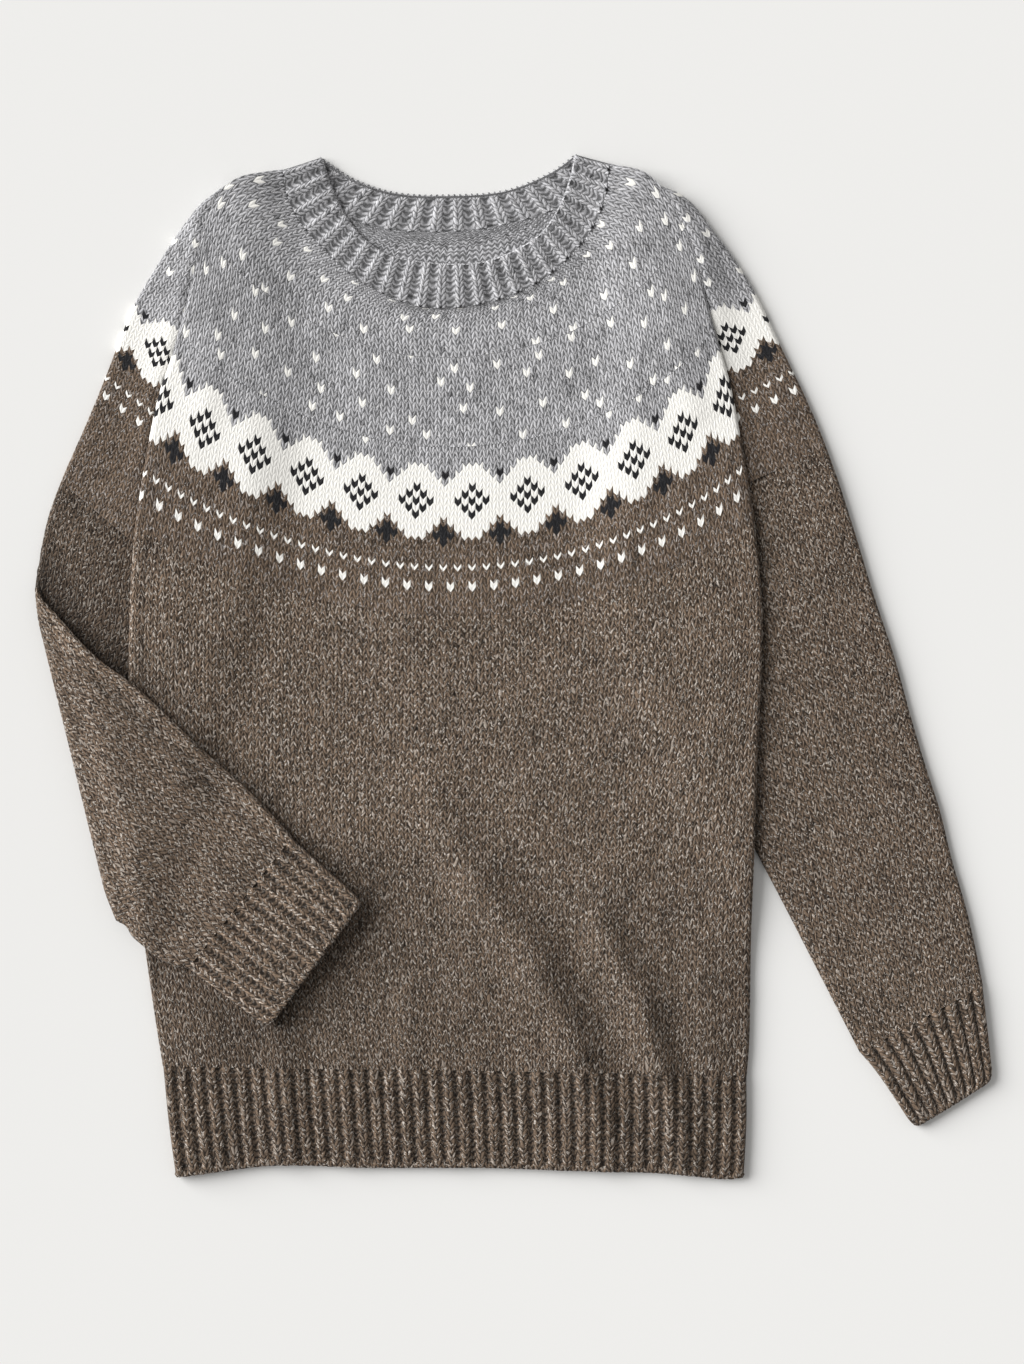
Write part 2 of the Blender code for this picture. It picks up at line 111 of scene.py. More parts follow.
# Knitting
COLUMN = 4.93  # width of a stitch
ROW = 4.15  # height of a stitch
HALF_ROW = ROW / 2  # the lattice has two lines for each row
SLANT = 0.62  # how many rows a leg climbs from the middle of a stitch to its side
BEAT = 0.35  # how much more a leg is raised halfway down its row than at the ends
CORD = 1.8  # how far a bound-off edge reaches beyond its rounding
CORD_EASE = 1.2  # length over which the row of stitches turns into the cord
CORD_RISE = 0.55  # how far the cord stands up
CORD_HIGHLIGHT = 1.12  # painted highlight: brightness of the bound-off cord
RIM_TONE = 0.8  # brightness of the strip that closes a rim
YOKE_ZONE_GAP = 0.25  # millimetres between two zones of the yoke's lattice
BODY_COLUMNS = 90
BODY_INSIDE_COLUMNS = 40
HEM_BACK_COLUMNS = 80
HEM_INSIDE_COLUMNS = 60
TUBE_INSIDE_COLUMNS = 10
YOKE_ZONES = ((72, 0.0, 0.26), (81, 0.26, 0.52), (90, 0.52, 1.0))  # columns, from share to share
NECK_RIBS = 24
NECK_RIBS_BACK = 16
HEM_RIBS = 40
CUFF_RIBS_LEFT = 11
CUFF_RIBS_RIGHT = 9
YOKE_SHARE_RIGHT = 0.36
YOKE_SHARE_LEFT = 0.62

# Plan curves, as X and Y
NECK_OPENING_FRONT = (
    (-132, 356), (-125, 335), (-117, 318), (-105, 301), (-87, 288), (-65, 283), (-42, 281),
    (-21, 282), (0, 289), (21, 302), (34, 321), (42, 342), (45, 358),
)
NECK_SEAM_FRONT = (
    (-159, 347), (-156, 329), (-146, 309), (-129, 290), (-112, 274), (-93, 262), (-68, 252),
    (-45, 250), (-20, 253), (3, 260), (24, 271), (41, 286), (56, 304), (66, 327), (69, 351),
)
NECK_OPENING_BACK = (
    (-132, 356), (-122, 349), (-109, 341), (-87, 333), (-65, 330), (-40, 330), (-17, 331),
    (3, 335), (28, 346), (45, 358),
)
NECK_SEAM_BACK = (
    (-159, 347), (-137, 326), (-110, 312), (-80, 305), (-40, 304), (-4, 309), (27, 318),
    (53, 332), (69, 351),
)
YOKE_CREASE_LEFT = (
    (-159, 347), (-177, 344), (-190, 340), (-200, 333), (-208, 322), (-215, 302), (-222, 268), (-235, 220),
    (-246, 186), (-255, 141), (-262, 96),
)
YOKE_CREASE_RIGHT = (
    (69, 351), (98, 341), (122, 304), (133, 268), (142, 235), (153, 197), (162, 150), (170, 101),
)
YOKE_EDGE = (
    (-262, 96), (-222, 76), (-181, 60), (-124, 44), (-68, 36), (-12, 36), (46, 45), (100, 62),
    (140, 81), (170, 101),
)
BODY_SIDE_LEFT = (
    (-262, 96), (-265, 50), (-266, 0), (-266, -66), (-262, -136), (-255, -197), (-249, -241),
    (-243, -279),
)
BODY_SIDE_RIGHT = (
    (170, 101), (175, 46), (175, 4), (172, -66), (170, -127), (168, -183), (167, -255), (165, -286),
)
HEM_TOP = ((-243, -279), (-147, -281), (-42, -282), (63, -284), (165, -286))
HEM_SIDE_LEFT = ((-243, -279), (-239, -320), (-234, -357))
HEM_SIDE_RIGHT = ((165, -286), (165, -320), (163, -357))
HEM_EDGE = (
    (-234, -357), (-183, -350), (-155, -348), (-100, -350), (-23, -350), (40, -352), (107, -354),
    (147, -358), (163, -357),
)

# Sleeves laid flat, one row for each section: outer edge X and Y, inner edge X and Y
SLEEVE_RIGHT = (
    (106, 335, 98, 321), (124, 326, 100, 296), (142, 304, 101, 262), (158, 282, 100, 228),
    (173, 257, 99, 196), (190, 221, 97, 160), (210, 179, 94, 120), (226, 138, 91, 82),
    (241, 92, 93, 40), (254, 49, 103, 12), (268, 7, 119, -23), (279, -33, 135, -57),
    (290, -70, 152, -92), (300, -101, 170, -127), (308, -134, 190, -165), (318, -168, 209, -202),
    (325, -198, 228, -239), (330, -223, 244, -270),
)
CUFF_RIGHT = ((330, -223, 244, -270), (333, -249, 258, -287), (337, -289, 282, -323))
SLEEVE_LEFT = (
    (-206, 331, -196, 318), (-218, 321, -195, 298), (-234, 300, -193, 262), (-250, 275, -192, 228),
    (-265, 248, -192, 186), (-283, 202, -193, 138), (-297, 168, -196, 92), (-312, 134, -203, 44),
    (-323, 104, -222, -12), (-331, 67, -274, -165),
)
FOREARM_LEFT = (
    (-331, 67, -274, -165), (-312, 27, -270, -180), (-290, 8, -264, -188), (-262, -13, -256, -195),
    (-235, -38, -248, -202), (-209, -63, -240, -207), (-178, -91, -233, -210), (-152, -119, -225, -211),
)
CUFF_LEFT = ((-152, -119, -225, -211), (-127, -141, -198, -231), (-102, -163, -169, -252))
ELBOW_SECTION = SLEEVE_LEFT[-1]
ELBOW_SPAN = 254.0  # length of the fold, from the outer edge to the inner one
ELBOW_SLIP = 22.0  # how far along the crease the outer edge comes out of the fold
ELBOW_SHORT = 8.0  # how far before the crease's inner end the inner edge goes into the fold
UPPER_ARM_SECTIONS = 9  # the last two give way to those of the fold
CREASES_CLEAR = (3.0, 8.0)  # how far off the body's side creases start, and the length they grow over
CREASES_CLEAR_FOLD = (6.0, 12.0)  # the same off the elbow's crease


@dataclass(frozen=True)
class Fold:
    """A soft ridge in the cloth, or a trough where its height is below zero."""

    start: tuple[float, float]
    end: tuple[float, float]
    half_width: float
    height: float

    def height_at(self, x: Array, y: Array) -> Array:
        """Height of the fold over the plan.

        Args:
            x: Places across, in millimetres.
            y: Places towards the neck, in millimetres.

        Returns:
            The fold's own height at each place.
        """
        start = np.array(self.start, dtype=float)
        along = np.array(self.end, dtype=float) - start
        share = ((x - start[0]) * along[0] + (y - start[1]) * along[1]) / (along @ along)
        share = np.clip(share, 0.0, 1.0)
        off = np.hypot(x - start[0] - share * along[0], y - start[1] - share * along[1])
        return self.height * np.exp(-((off / self.half_width) ** 2))


# The main folds of the front, which the solids have too
MAIN_FOLDS = (
    Fold((-60, -88), (-26, -150), 17, 2.8),
    Fold((-26, -150), (18, -210), 16, 4.6),
    Fold((18, -210), (46, -270), 14, 4.8),
    Fold((46, -270), (60, -315), 13, 3.4),
    Fold((60, -315), (66, -350), 12, 2.6),
    Fold((62, -177), (92, -240), 12, 4.2),
    Fold((92, -240), (104, -280), 11, 4.6),
    Fold((104, -280), (122, -345), 10, 3.6),
    Fold((-160, -258), (-156, -348), 12, 3.6),
    Fold((-205, 260), (-212, 180), 12, 1.6),
    Fold((108, 262), (126, 180), 12, 1.6),
)


def smoothstep(value: Union[Array, float]) -> Array:
    """Ease from 0 to 1 while value goes from 0 to 1."""
    t = np.clip(value, 0.0, 1.0)
    return t * t * (3.0 - 2.0 * t)


def ramp(value: Union[Array, float], start: float, length: float) -> Array:
    """Ease from 0 at start to 1 where value is past it by length."""
    return smoothstep((value - start) / length)


def spline(points: Curve, shares: Array) -> Array:
    """Sample a smooth curve at shares of its length.

    Args:
        points: The points that the curve goes through.
        shares: Shares of the curve's length, from 0 to 1.

    Returns:
        One row for each share.
    """
    knots = np.asarray(points, dtype=float)
    ends = np.vstack([2 * knots[0] - knots[1], knots, 2 * knots[-1] - knots[-2]])
    steps = np.linspace(0.0, 1.0, 13)[:-1, None]
    fine = []
    for a, b, c, d in zip(ends, ends[1:], ends[2:], ends[3:]):
        square = 2 * a - 5 * b + 4 * c - d
        cube = 3 * b - a - 3 * c + d
        fine.append(0.5 * (2 * b + (c - a) * steps + square * steps**2 + cube * steps**3))
    fine = np.vstack(fine + [knots[-1:]])
    length = np.concatenate([[0.0], np.cumsum(np.linalg.norm(np.diff(fine, axis=0), axis=1))])
    at = np.asarray(shares) * length[-1]
    return np.column_stack([np.interp(at, length, column) for column in fine.T])


def inner_edge_x(table: Curve, y: Array) -> Array:
    """X of a sleeve's inner edge.

    Args:
        table: The sleeve's sections.
        y: Places towards the neck, in millimetres.

    Returns:
        X at each place, carried on past the end of the sleeve.
    """
    rows = sorted((row[3], row[2]) for row in table)
    heights = [row[0] for row in rows]
    places = [row[1] for row in rows]
    slope = (places[1] - places[0]) / (heights[1] - heights[0])
    below = places[0] + slope * (y - heights[0])
    return np.where(y < heights[0], below, np.interp(y, heights, places))


def curve_x(curve: Curve, y: Array) -> Array:
    """X of a curve that runs down the plan, at places towards the neck."""
    points = spline(curve, np.linspace(0.0, 1.0, 61))[::-1]
    return np.interp(y, points[:, 1], points[:, 0])


def body_lift(x: Array, y: Array) -> Array:
    """Height of the body's underside, raised over the sleeves and on the surface between them."""
    inward = np.minimum(x - inner_edge_x(SLEEVE_LEFT, y), inner_edge_x(SLEEVE_RIGHT, y) - x)
    return SLEEVE_LIFT * (1 - ramp(inward, LIFT_MARGIN, LIFT_RAMP))


def main_folds(x: Array, y: Array) -> Array:
    """Height of the main folds over the plan."""
    return np.max([fold.height_at(x, y) for fold in MAIN_FOLDS], axis=0)


# Smaller creases, uneven as cloth that was laid out by hand. They lie over the main folds
FRONT_CREASES = (
    Fold((-60, -88), (-26, -150), 17, 1.0),
    Fold((-26, -150), (18, -210), 16, 2.6),
    Fold((18, -210), (46, -270), 14, 2.4),
    Fold((46, -270), (60, -315), 13, 1.2),
    Fold((-12, -120), (8, -148), 14, -1.0),
    Fold((8, -148), (44, -196), 13, -1.6),
    Fold((44, -196), (66, -250), 12, -1.8),
    Fold((66, -250), (82, -320), 11, -1.2),
    Fold((62, -177), (92, -240), 12, 2.0),
    Fold((92, -240), (104, -280), 11, 2.2),
    Fold((104, -280), (122, -345), 10, 1.2),
    Fold((112, -222), (124, -290), 10, -1.2),
    Fold((132, -200), (142, -292), 11, 2.0),
    Fold((-85, 15), (20, -112), 22, 1.7),
    Fold((30, -110), (90, -40), 22, 0.8),
    Fold((60, -150), (128, -92), 18, 1.2),
    Fold((134, -60), (150, 20), 14, 0.9),
    Fold((150, -150), (152, -230), 12, 1.2),
    Fold((-214, -215), (-216, -350), 28, 2.6),
    Fold((-120, -262), (-112, -346), 11, 1.4),
    Fold((-72, -225), (-68, -290), 11, 2.2),
    Fold((-46, -262), (-38, -346), 12, 1.2),
    Fold((10, -222), (14, -290), 11, 2.0),
    Fold((24, -282), (36, -346), 10, 1.4),
    Fold((-60, -170), (-10, -235), 16, 1.2),
    Fold((-150, 10), (-170, -50), 24, 0.9),
    Fold((-60, 10), (-40, -80), 30, 0.8),
    Fold((60, 20), (48, -50), 26, 0.8),
    Fold((-236, 60), (-240, -20), 14, 0.9),
    Fold((-222, 150), (-232, 110), 14, 0.8),
    Fold((-150, 230), (-176, 130), 22, 0.8),
    Fold((-92, 225), (-104, 130), 24, 0.6),
    Fold((-20, 225), (-14, 130), 24, 0.7),
    Fold((40, 236), (64, 140), 22, 0.8),
    Fold((90, 262), (110, 200), 14, 0.8),
    Fold((150, 150), (156, 96), 11, 0.8),
)
SLEEVE_CREASES_RIGHT = (
    Fold((232, 150), (212, 60), 16, 0.9),
    Fold((196, 60), (246, -10), 14, 1.0),
    Fold((212, 10), (262, -60), 13, -0.8),
    Fold((222, -40), (282, -96), 13, 1.0),
    Fold((236, -110), (292, -150), 12, 0.9),
    Fold((252, -160), (306, -196), 11, -0.7),
    Fold((262, -200), (300, -236), 10, 0.8),
    Fold((284, -150), (312, -230), 9, 0.7),
    Fold((186, 196), (200, 130), 10, 0.8),
)
SLEEVE_CREASES_LEFT = (
    Fold((-300, 110), (-284, 10), 14, 1.0),
    Fold((-322, 60), (-290, -20), 9, 0.9),
    Fold((-286, 150), (-276, 70), 12, 0.8),
)
FOREARM_CREASES = (
    Fold((-170, -130), (-120, -190), 46, 2.6),
    Fold((-226, -130), (-214, -190), 24, 1.6),
    Fold((-300, 20), (-262, -120), 15, 0.7),
    Fold((-250, -52), (-226, -150), 13, -0.5),
    Fold((-226, -72), (-196, -160), 12, 0.6),
    Fold((-180, -104), (-206, -196), 10, 0.6),
    Fold((-276, -40), (-250, -170), 12, 0.5),
)


def creases(folds: Sequence[Fold], x: Array, y: Array) -> Array:
    """Height that small creases add together over the plan."""
    return np.sum([fold.height_at(x, y) for fold in folds], axis=0)


MOUTH_LIFT = 3.6  # how far the left cuff's mouth stands off the body
MOUTH_REACH = 70.0  # how far up the cuff the lift goes

FOREARM_UPPER = tuple(row[:2] for row in FOREARM_LEFT + CUFF_LEFT[1:])
FOREARM_LOWER = tuple(row[2:] for row in FOREARM_LEFT + CUFF_LEFT[1:])
CUFF_MOUTH = (CUFF_LEFT[-1][:2], CUFF_LEFT[-1][2:])
UPPER_ARM_TOP = 9.0  # the upper arm lies below this height and the forearm above it
ARM_LOSS = 0.27  # least painted shade on the upper arm, as a share of light lost
# painted shade: the right sleeve's wool is drawn at this share of its brightness all over
SLEEVE_RIGHT_SHADE = 0.90

# Painted shade, where cloth loses light beside the edge of cloth above it: that edge, its reach in
# millimetres, and the share that is lost right beside it
BODY_CONTACTS = ((CUFF_MOUTH, 30.0, 0.34), (FOREARM_UPPER, 13.0, 0.28), (FOREARM_LOWER, 26.0, 0.20))
ARM_CONTACTS = ((FOREARM_UPPER, 28.0, 0.60), (BODY_SIDE_LEFT, 24.0, 0.30))
SLEEVE_RIGHT_CONTACT = (BODY_SIDE_RIGHT, 7.0, 0.30)
SHOULDER_LEFT_CONTACT = (YOKE_CREASE_LEFT[7:] + BODY_SIDE_LEFT[1:3], 5.0, 0.20)
SHOULDER_RIGHT_CONTACT = (YOKE_CREASE_RIGHT[4:] + BODY_SIDE_RIGHT[1:3], 5.0, 0.20)

# A rolled edge, with a painted highlight along it and a painted shadow line behind it: its reach on the body
# and on the forearm, how much brighter the highlight is and how far in that goes, and how much darker the
# shadow line is, with the line's place and width
ROLL_REACH = 9.0
ROLL_REACH_FOREARM = 16.0
ROLL_HIGHLIGHT = 0.24
ROLL_HIGHLIGHT_END = 0.40
ROLL_SHADOW = 0.26
ROLL_SHADOW_PLACE = 0.62
ROLL_SHADOW_WIDTH = 0.11

# The lower front's painted shade: share of light lost down it and towards the right, and where each loss
# starts, as a distance down or to the right, with the length over which it grows
LOWER_LOSS = 0.13
LOWER_DOWN = (60.0, 210.0)
LOWER_LOSS_RIGHT = 0.09
LOWER_RIGHT_ACROSS = (10.0, 120.0)
LOWER_RIGHT_DOWN = (90.0, 110.0)


def hollow(points: Array, curve: Curve, reach: float, depth: float) -> Array:
    """Painted shade: how much light the wool loses beside the edge of the cloth above it.

    Args:
        points: Places on the cloth.
        curve: Plan curve of the edge.
        reach: How far from the edge the loss goes, in millimetres.
        depth: Share that is lost right at the edge.

    Returns:
        Share of the light that is lost at each place.
    """
    knots = np.asarray(curve, dtype=float)
    nearest = np.full(len(points), np.inf)
    for start, end in zip(knots, knots[1:]):
        along = end - start
        off = points[:, :2] - start
        share = np.clip(off @ along / (along @ along), 0.0, 1.0)
        nearest = np.minimum(nearest, np.linalg.norm(off - share[:, None] * along, axis=1))
    return depth * np.exp(-((nearest / reach) ** 2))


def lower_shade(points: Array) -> Array:
    """Painted shade on the lower front, darker down it and to the right, as if turned from the light.

    Args:
        points: Places on the cloth.

    Returns:
        Brightness at each place.
    """
    down = ramp(-points[:, 1], *LOWER_DOWN)
    right = ramp(points[:, 0], *LOWER_RIGHT_ACROSS) * ramp(-points[:, 1], *LOWER_RIGHT_DOWN)
    return 1 - LOWER_LOSS * down - LOWER_LOSS_RIGHT * right


def contact_loss(points: Array, contacts: Sequence[tuple[Curve, float, float]]) -> Array:
    """Greatest painted shade beside several edges, as the share of light lost."""
    return np.max([hollow(points, *contact) for contact in contacts], axis=0)


def rolled_edge(points: Array, curve: Curve, reach: float = ROLL_REACH) -> Array:
    """Painted highlight and shade beside an edge that rolls over: a bright band, and a dark line behind it.

    Args:
        points: Places on the cloth.
        curve: Plan curve of the edge.
        reach: How far from the edge the effect goes, in millimetres.

    Returns:
        Brightness at each place.
    """
    away = 1 - hollow(points, curve, reach, 1.0)
    band = ROLL_HIGHLIGHT * (1 - smoothstep(away / ROLL_HIGHLIGHT_END))
    line = ROLL_SHADOW * np.exp(-(((away - ROLL_SHADOW_PLACE) / ROLL_SHADOW_WIDTH) ** 2))
    return 1 + band - line


def body_shade(points: Array) -> Array:
    """Painted shade and highlight on the body's front, which the forearm lies on."""
    side = rolled_edge(points, BODY_SIDE_LEFT[:4])
    return (1 - contact_loss(points, BODY_CONTACTS)) * lower_shade(points) * side


def sleeve_left_shade(points: Array) -> Array:
    """Painted shade and highlight on the left sleeve, whose upper arm lies deep between body and forearm.

    Args:
        points: Places on the folded sleeve.

    Returns:
        Brightness at each place.
    """
    deep = 1 - np.maximum(contact_loss(points, ARM_CONTACTS), ARM_LOSS)
    forearm = rolled_edge(points, FOREARM_UPPER, ROLL_REACH_FOREARM)
    return np.where(points[:, 2] < UPPER_ARM_TOP, deep, forearm)


def sleeve_right_shade(points: Array) -> Array:
    """Painted shade on the right sleeve: darker all over, and more where it goes under the body's side."""
    return SLEEVE_RIGHT_SHADE - hollow(points, *SLEEVE_RIGHT_CONTACT)


def shoulder_left_shade(points: Array) -> Array:
    """Painted shade on the left shoulder, where it goes under the yoke's side."""
    return 1 - hollow(points, *SHOULDER_LEFT_CONTACT)


def shoulder_right_shade(points: Array) -> Array:
    """Painted shade on the right shoulder, where it goes under the yoke's side."""
    return 1 - hollow(points, *SHOULDER_RIGHT_CONTACT)


def front_level(x: Array, y: Array) -> Array:
    """Height of the front's upper face."""
    return body_lift(x, y) + TORSO_HEIGHT + main_folds(x, y) + creases(FRONT_CREASES, x, y)


def back_level(x: Array, y: Array) -> Array:
    """Height of the back's underside."""
    return body_lift(x, y)


def shoulder_share(x: Array, y: Array) -> Array:
    """How far the yoke's crease has run into the shoulder, where it ends."""
    beside = np.maximum(ramp(-x, *SHOULDER_OFF_LEFT), ramp(x, *SHOULDER_OFF_RIGHT))
    return ramp(y, *SHOULDER_UP) * beside


def torso_middle(x: Array, y: Array) -> Array:
    """Height of the crease where front and back meet, which rises into the shoulders."""
    return body_lift(x, y) + WALL + SEAM / 2 + SHOULDER_RISE * shoulder_share(x, y)


def elbow_frame() -> tuple[Array, Array, Array]:
    """Directions of the elbow crease.

    Returns:
        The crease's outer end, the unit vector along it and the one that points off the arm.
    """
    start = np.array(ELBOW_SECTION[:2], dtype=float)
    crease = np.array(ELBOW_SECTION[2:], dtype=float) - start
    along = crease / np.linalg.norm(crease)
    return start, along, np.array([along[1], -along[0]])


def mouth_lift(x: Array, y: Array) -> Array:
    """Height by which the cuff's mouth stands up.

    Args:
        x: Places across, in millimetres.
        y: Places towards the neck, in millimetres.

    Returns:
        The height at each place.
    """
    start = np.array(CUFF_MOUTH[0], dtype=float)
    mouth = np.array(CUFF_MOUTH[1], dtype=float) - start
    off = ((x - start[0]) * mouth[1] - (y - start[1]) * mouth[0]) / np.linalg.norm(mouth)
    return MOUTH_LIFT * smoothstep(1 - np.abs(off) / MOUTH_REACH)


def forearm_rest(x: Array, y: Array) -> Array:
    """Height of the surface that the forearm lies on.

    Args:
        x: Places across, in millimetres.
        y: Places towards the neck, in millimetres.

    Returns:
        The height at each place.
    """
    start, _, outward = elbow_frame()
    past = -((x - start[0]) * outward[0] + (y - start[1]) * outward[1])
    high = body_lift(x, y) + TORSO_HEIGHT + FOREARM_GAP + main_folds(x, y) + mouth_lift(x, y)
    return FOREARM_LOW + (high - FOREARM_LOW) * smoothstep(past / FOREARM_RAMP)


def over_body(points: Array) -> Array:
    """Turn a stretch of the forearm over and lay it on the body.

    Args:
        points: Places on the flat tube, whose plan is already that of the forearm.

    Returns:
        The same places on the body.
    """
    rest = forearm_rest(points[..., 0], points[..., 1])
    crown = creases(FOREARM_CREASES, points[..., 0], points[..., 1])
    upper = smoothstep(1 - points[..., 2] / (TUBE_HEIGHT / 2))
    height = rest + TUBE_HEIGHT - points[..., 2] + crown * upper
    return np.concatenate([points[..., :2], height[..., None]], axis=-1)


def elbow_bulge(along: Array) -> Array:
    """Share of the fold's roundness that is left along the crease, which closes at both ends."""
    opened = BULGE_START + (1 - BULGE_START) * smoothstep(along / BULGE_START_LENGTH)
    return opened * (1 - BULGE_END_LOSS * ramp(along, *BULGE_END))


def round_elbow(points: Array) -> Array:
    """Fold the straight left sleeve round its elbow crease.

    Args:
        points: Places on the sleeve as it is before it is folded, laid out straight.

    Returns:
        The same places on the folded sleeve.
    """
    start, along, outward = elbow_frame()
    past = (points[..., :2] - start) @ outward
    bulge = elbow_bulge((points[..., :2] - start) @ along)
    angle = np.clip(past / FOLD_LENGTH, 0.0, 1.0) * math.pi
    radius = FOLD_AXIS_Z - points[..., 2]
    beyond = np.maximum(past - FOLD_LENGTH, 0.0)
    moved = np.where(past > 0, bulge * radius * np.sin(angle) - beyond - past, 0.0)
    plan = points[..., :2] + outward * moved[..., None]
    height = np.where(past > 0, FOLD_AXIS_Z - radius * np.cos(angle), points[..., 2])
    laid = over_body(np.concatenate([plan, points[..., 2:]], axis=-1))
    full = np.concatenate([plan, np.maximum(height, FLOOR_GAP)[..., None]], axis=-1)
    return np.where((past > FOLD_LENGTH)[..., None], laid, full)


class PlanPatch:
    """Plan of one flattened layer, as a fine grid whose rows are evenly spaced."""

    ROWS = 129
    COLUMNS = 201
    COARSE_COLUMNS = 97  # before the rows are evened out
    STEP = 0.004  # share of the plan over which a direction is taken
    TINY = 1e-9

    def __init__(self, top: Curve, bottom: Curve, left: Curve, right: Curve) -> None:
        """Blend four plan curves.

        Args:
            top: Curve of the first row.
            bottom: Curve of the last row.
            left: Curve of the side where rows start.
            right: Curve of the side where rows end.
        """
        across = np.linspace(0.0, 1.0, self.COARSE_COLUMNS)
        down = np.linspace(0.0, 1.0, self.ROWS)
        u = across[None, :, None]
        v = down[:, None, None]
        fine = (1 - v) * spline(top, across)[None] + v * spline(bottom, across)[None]
        fine = fine + (1 - u) * spline(left, down)[:, None] + u * spline(right, down)[:, None]
        ends = np.array([[top[0], top[-1]], [bottom[0], bottom[-1]]], dtype=float)
        fine = fine - (1 - v) * ((1 - u) * ends[0, 0] + u * ends[0, 1])
        fine = fine - v * ((1 - u) * ends[1, 0] + u * ends[1, 1])
        self.grid = np.array([spline_even(row, self.COLUMNS) for row in fine])
        steps = np.linalg.norm(np.diff(self.grid, axis=1), axis=2)
        self.widths = steps.sum(axis=1)
        middle = self.grid[:, self.COLUMNS // 2]
        self.length = float(np.linalg.norm(np.diff(middle, axis=0), axis=1).sum())
        self.rows_at = down

    def at(self, share: Array, down: Array) -> Array:
        """Place on the plan.

        Args:
            share: Share of the row, from 0 to 1.
            down: Share of the way from the first row to the last.

        Returns:
            X and Y for each pair.
        """
        rows, columns = self.grid.shape[:2]
        i = np.clip(down, 0.0, 1.0) * (rows - 1)
        j = np.clip(share, 0.0, 1.0) * (columns - 1)
        i0 = np.minimum(i.astype(int), rows - 2)
        j0 = np.minimum(j.astype(int), columns - 2)
        a = (i - i0)[..., None]
        b = (j - j0)[..., None]
        upper = (1 - b) * self.grid[i0, j0] + b * self.grid[i0, j0 + 1]
        lower = (1 - b) * self.grid[i0 + 1, j0] + b * self.grid[i0 + 1, j0 + 1]
        return (1 - a) * upper + a * lower

    def width(self, down: Array) -> Array:
        """Length of the row at each share of the way down."""
        return np.interp(down, self.rows_at, self.widths)

    def directions(self, share: Array, down: Array) -> tuple[Array, Array]:
        """Directions of the cloth on the plan.

        Args:
            share: Share of the row, from 0 to 1.
            down: Share of the way from the first row to the last.

        Returns:
            Unit vectors along the row and down the column at each place.
        """
        step = self.STEP
        across = self.at(np.minimum(share + step, 1.0), down) - self.at(np.maximum(share - step, 0.0), down)
        along = self.at(share, np.minimum(down + step, 1.0)) - self.at(share, np.maximum(down - step, 0.0))
        across = across / np.maximum(np.linalg.norm(across, axis=-1, keepdims=True), self.TINY)
        along = along / np.maximum(np.linalg.norm(along, axis=-1, keepdims=True), self.TINY)
        return across, along

    def handedness(self) -> float:
        """1 where rows run clockwise from the columns on the plan, and -1 otherwise."""
        across, along = self.directions(np.array([0.5]), np.array([0.5]))
        return float(np.sign(along[0, 0] * across[0, 1] - along[0, 1] * across[0, 0]))


def spline_even(row: Array, count: int) -> Array:
    """Place points evenly along a polyline.

    Args:
        row: The polyline's points.
        count: How many points to place.

    Returns:
        The evenly spaced points.
    """
    length = np.concatenate([[0.0], np.cumsum(np.linalg.norm(np.diff(row, axis=0), axis=1))])
    at = np.linspace(0.0, length[-1], count)
    return np.column_stack([np.interp(at, length, column) for column in row.T])


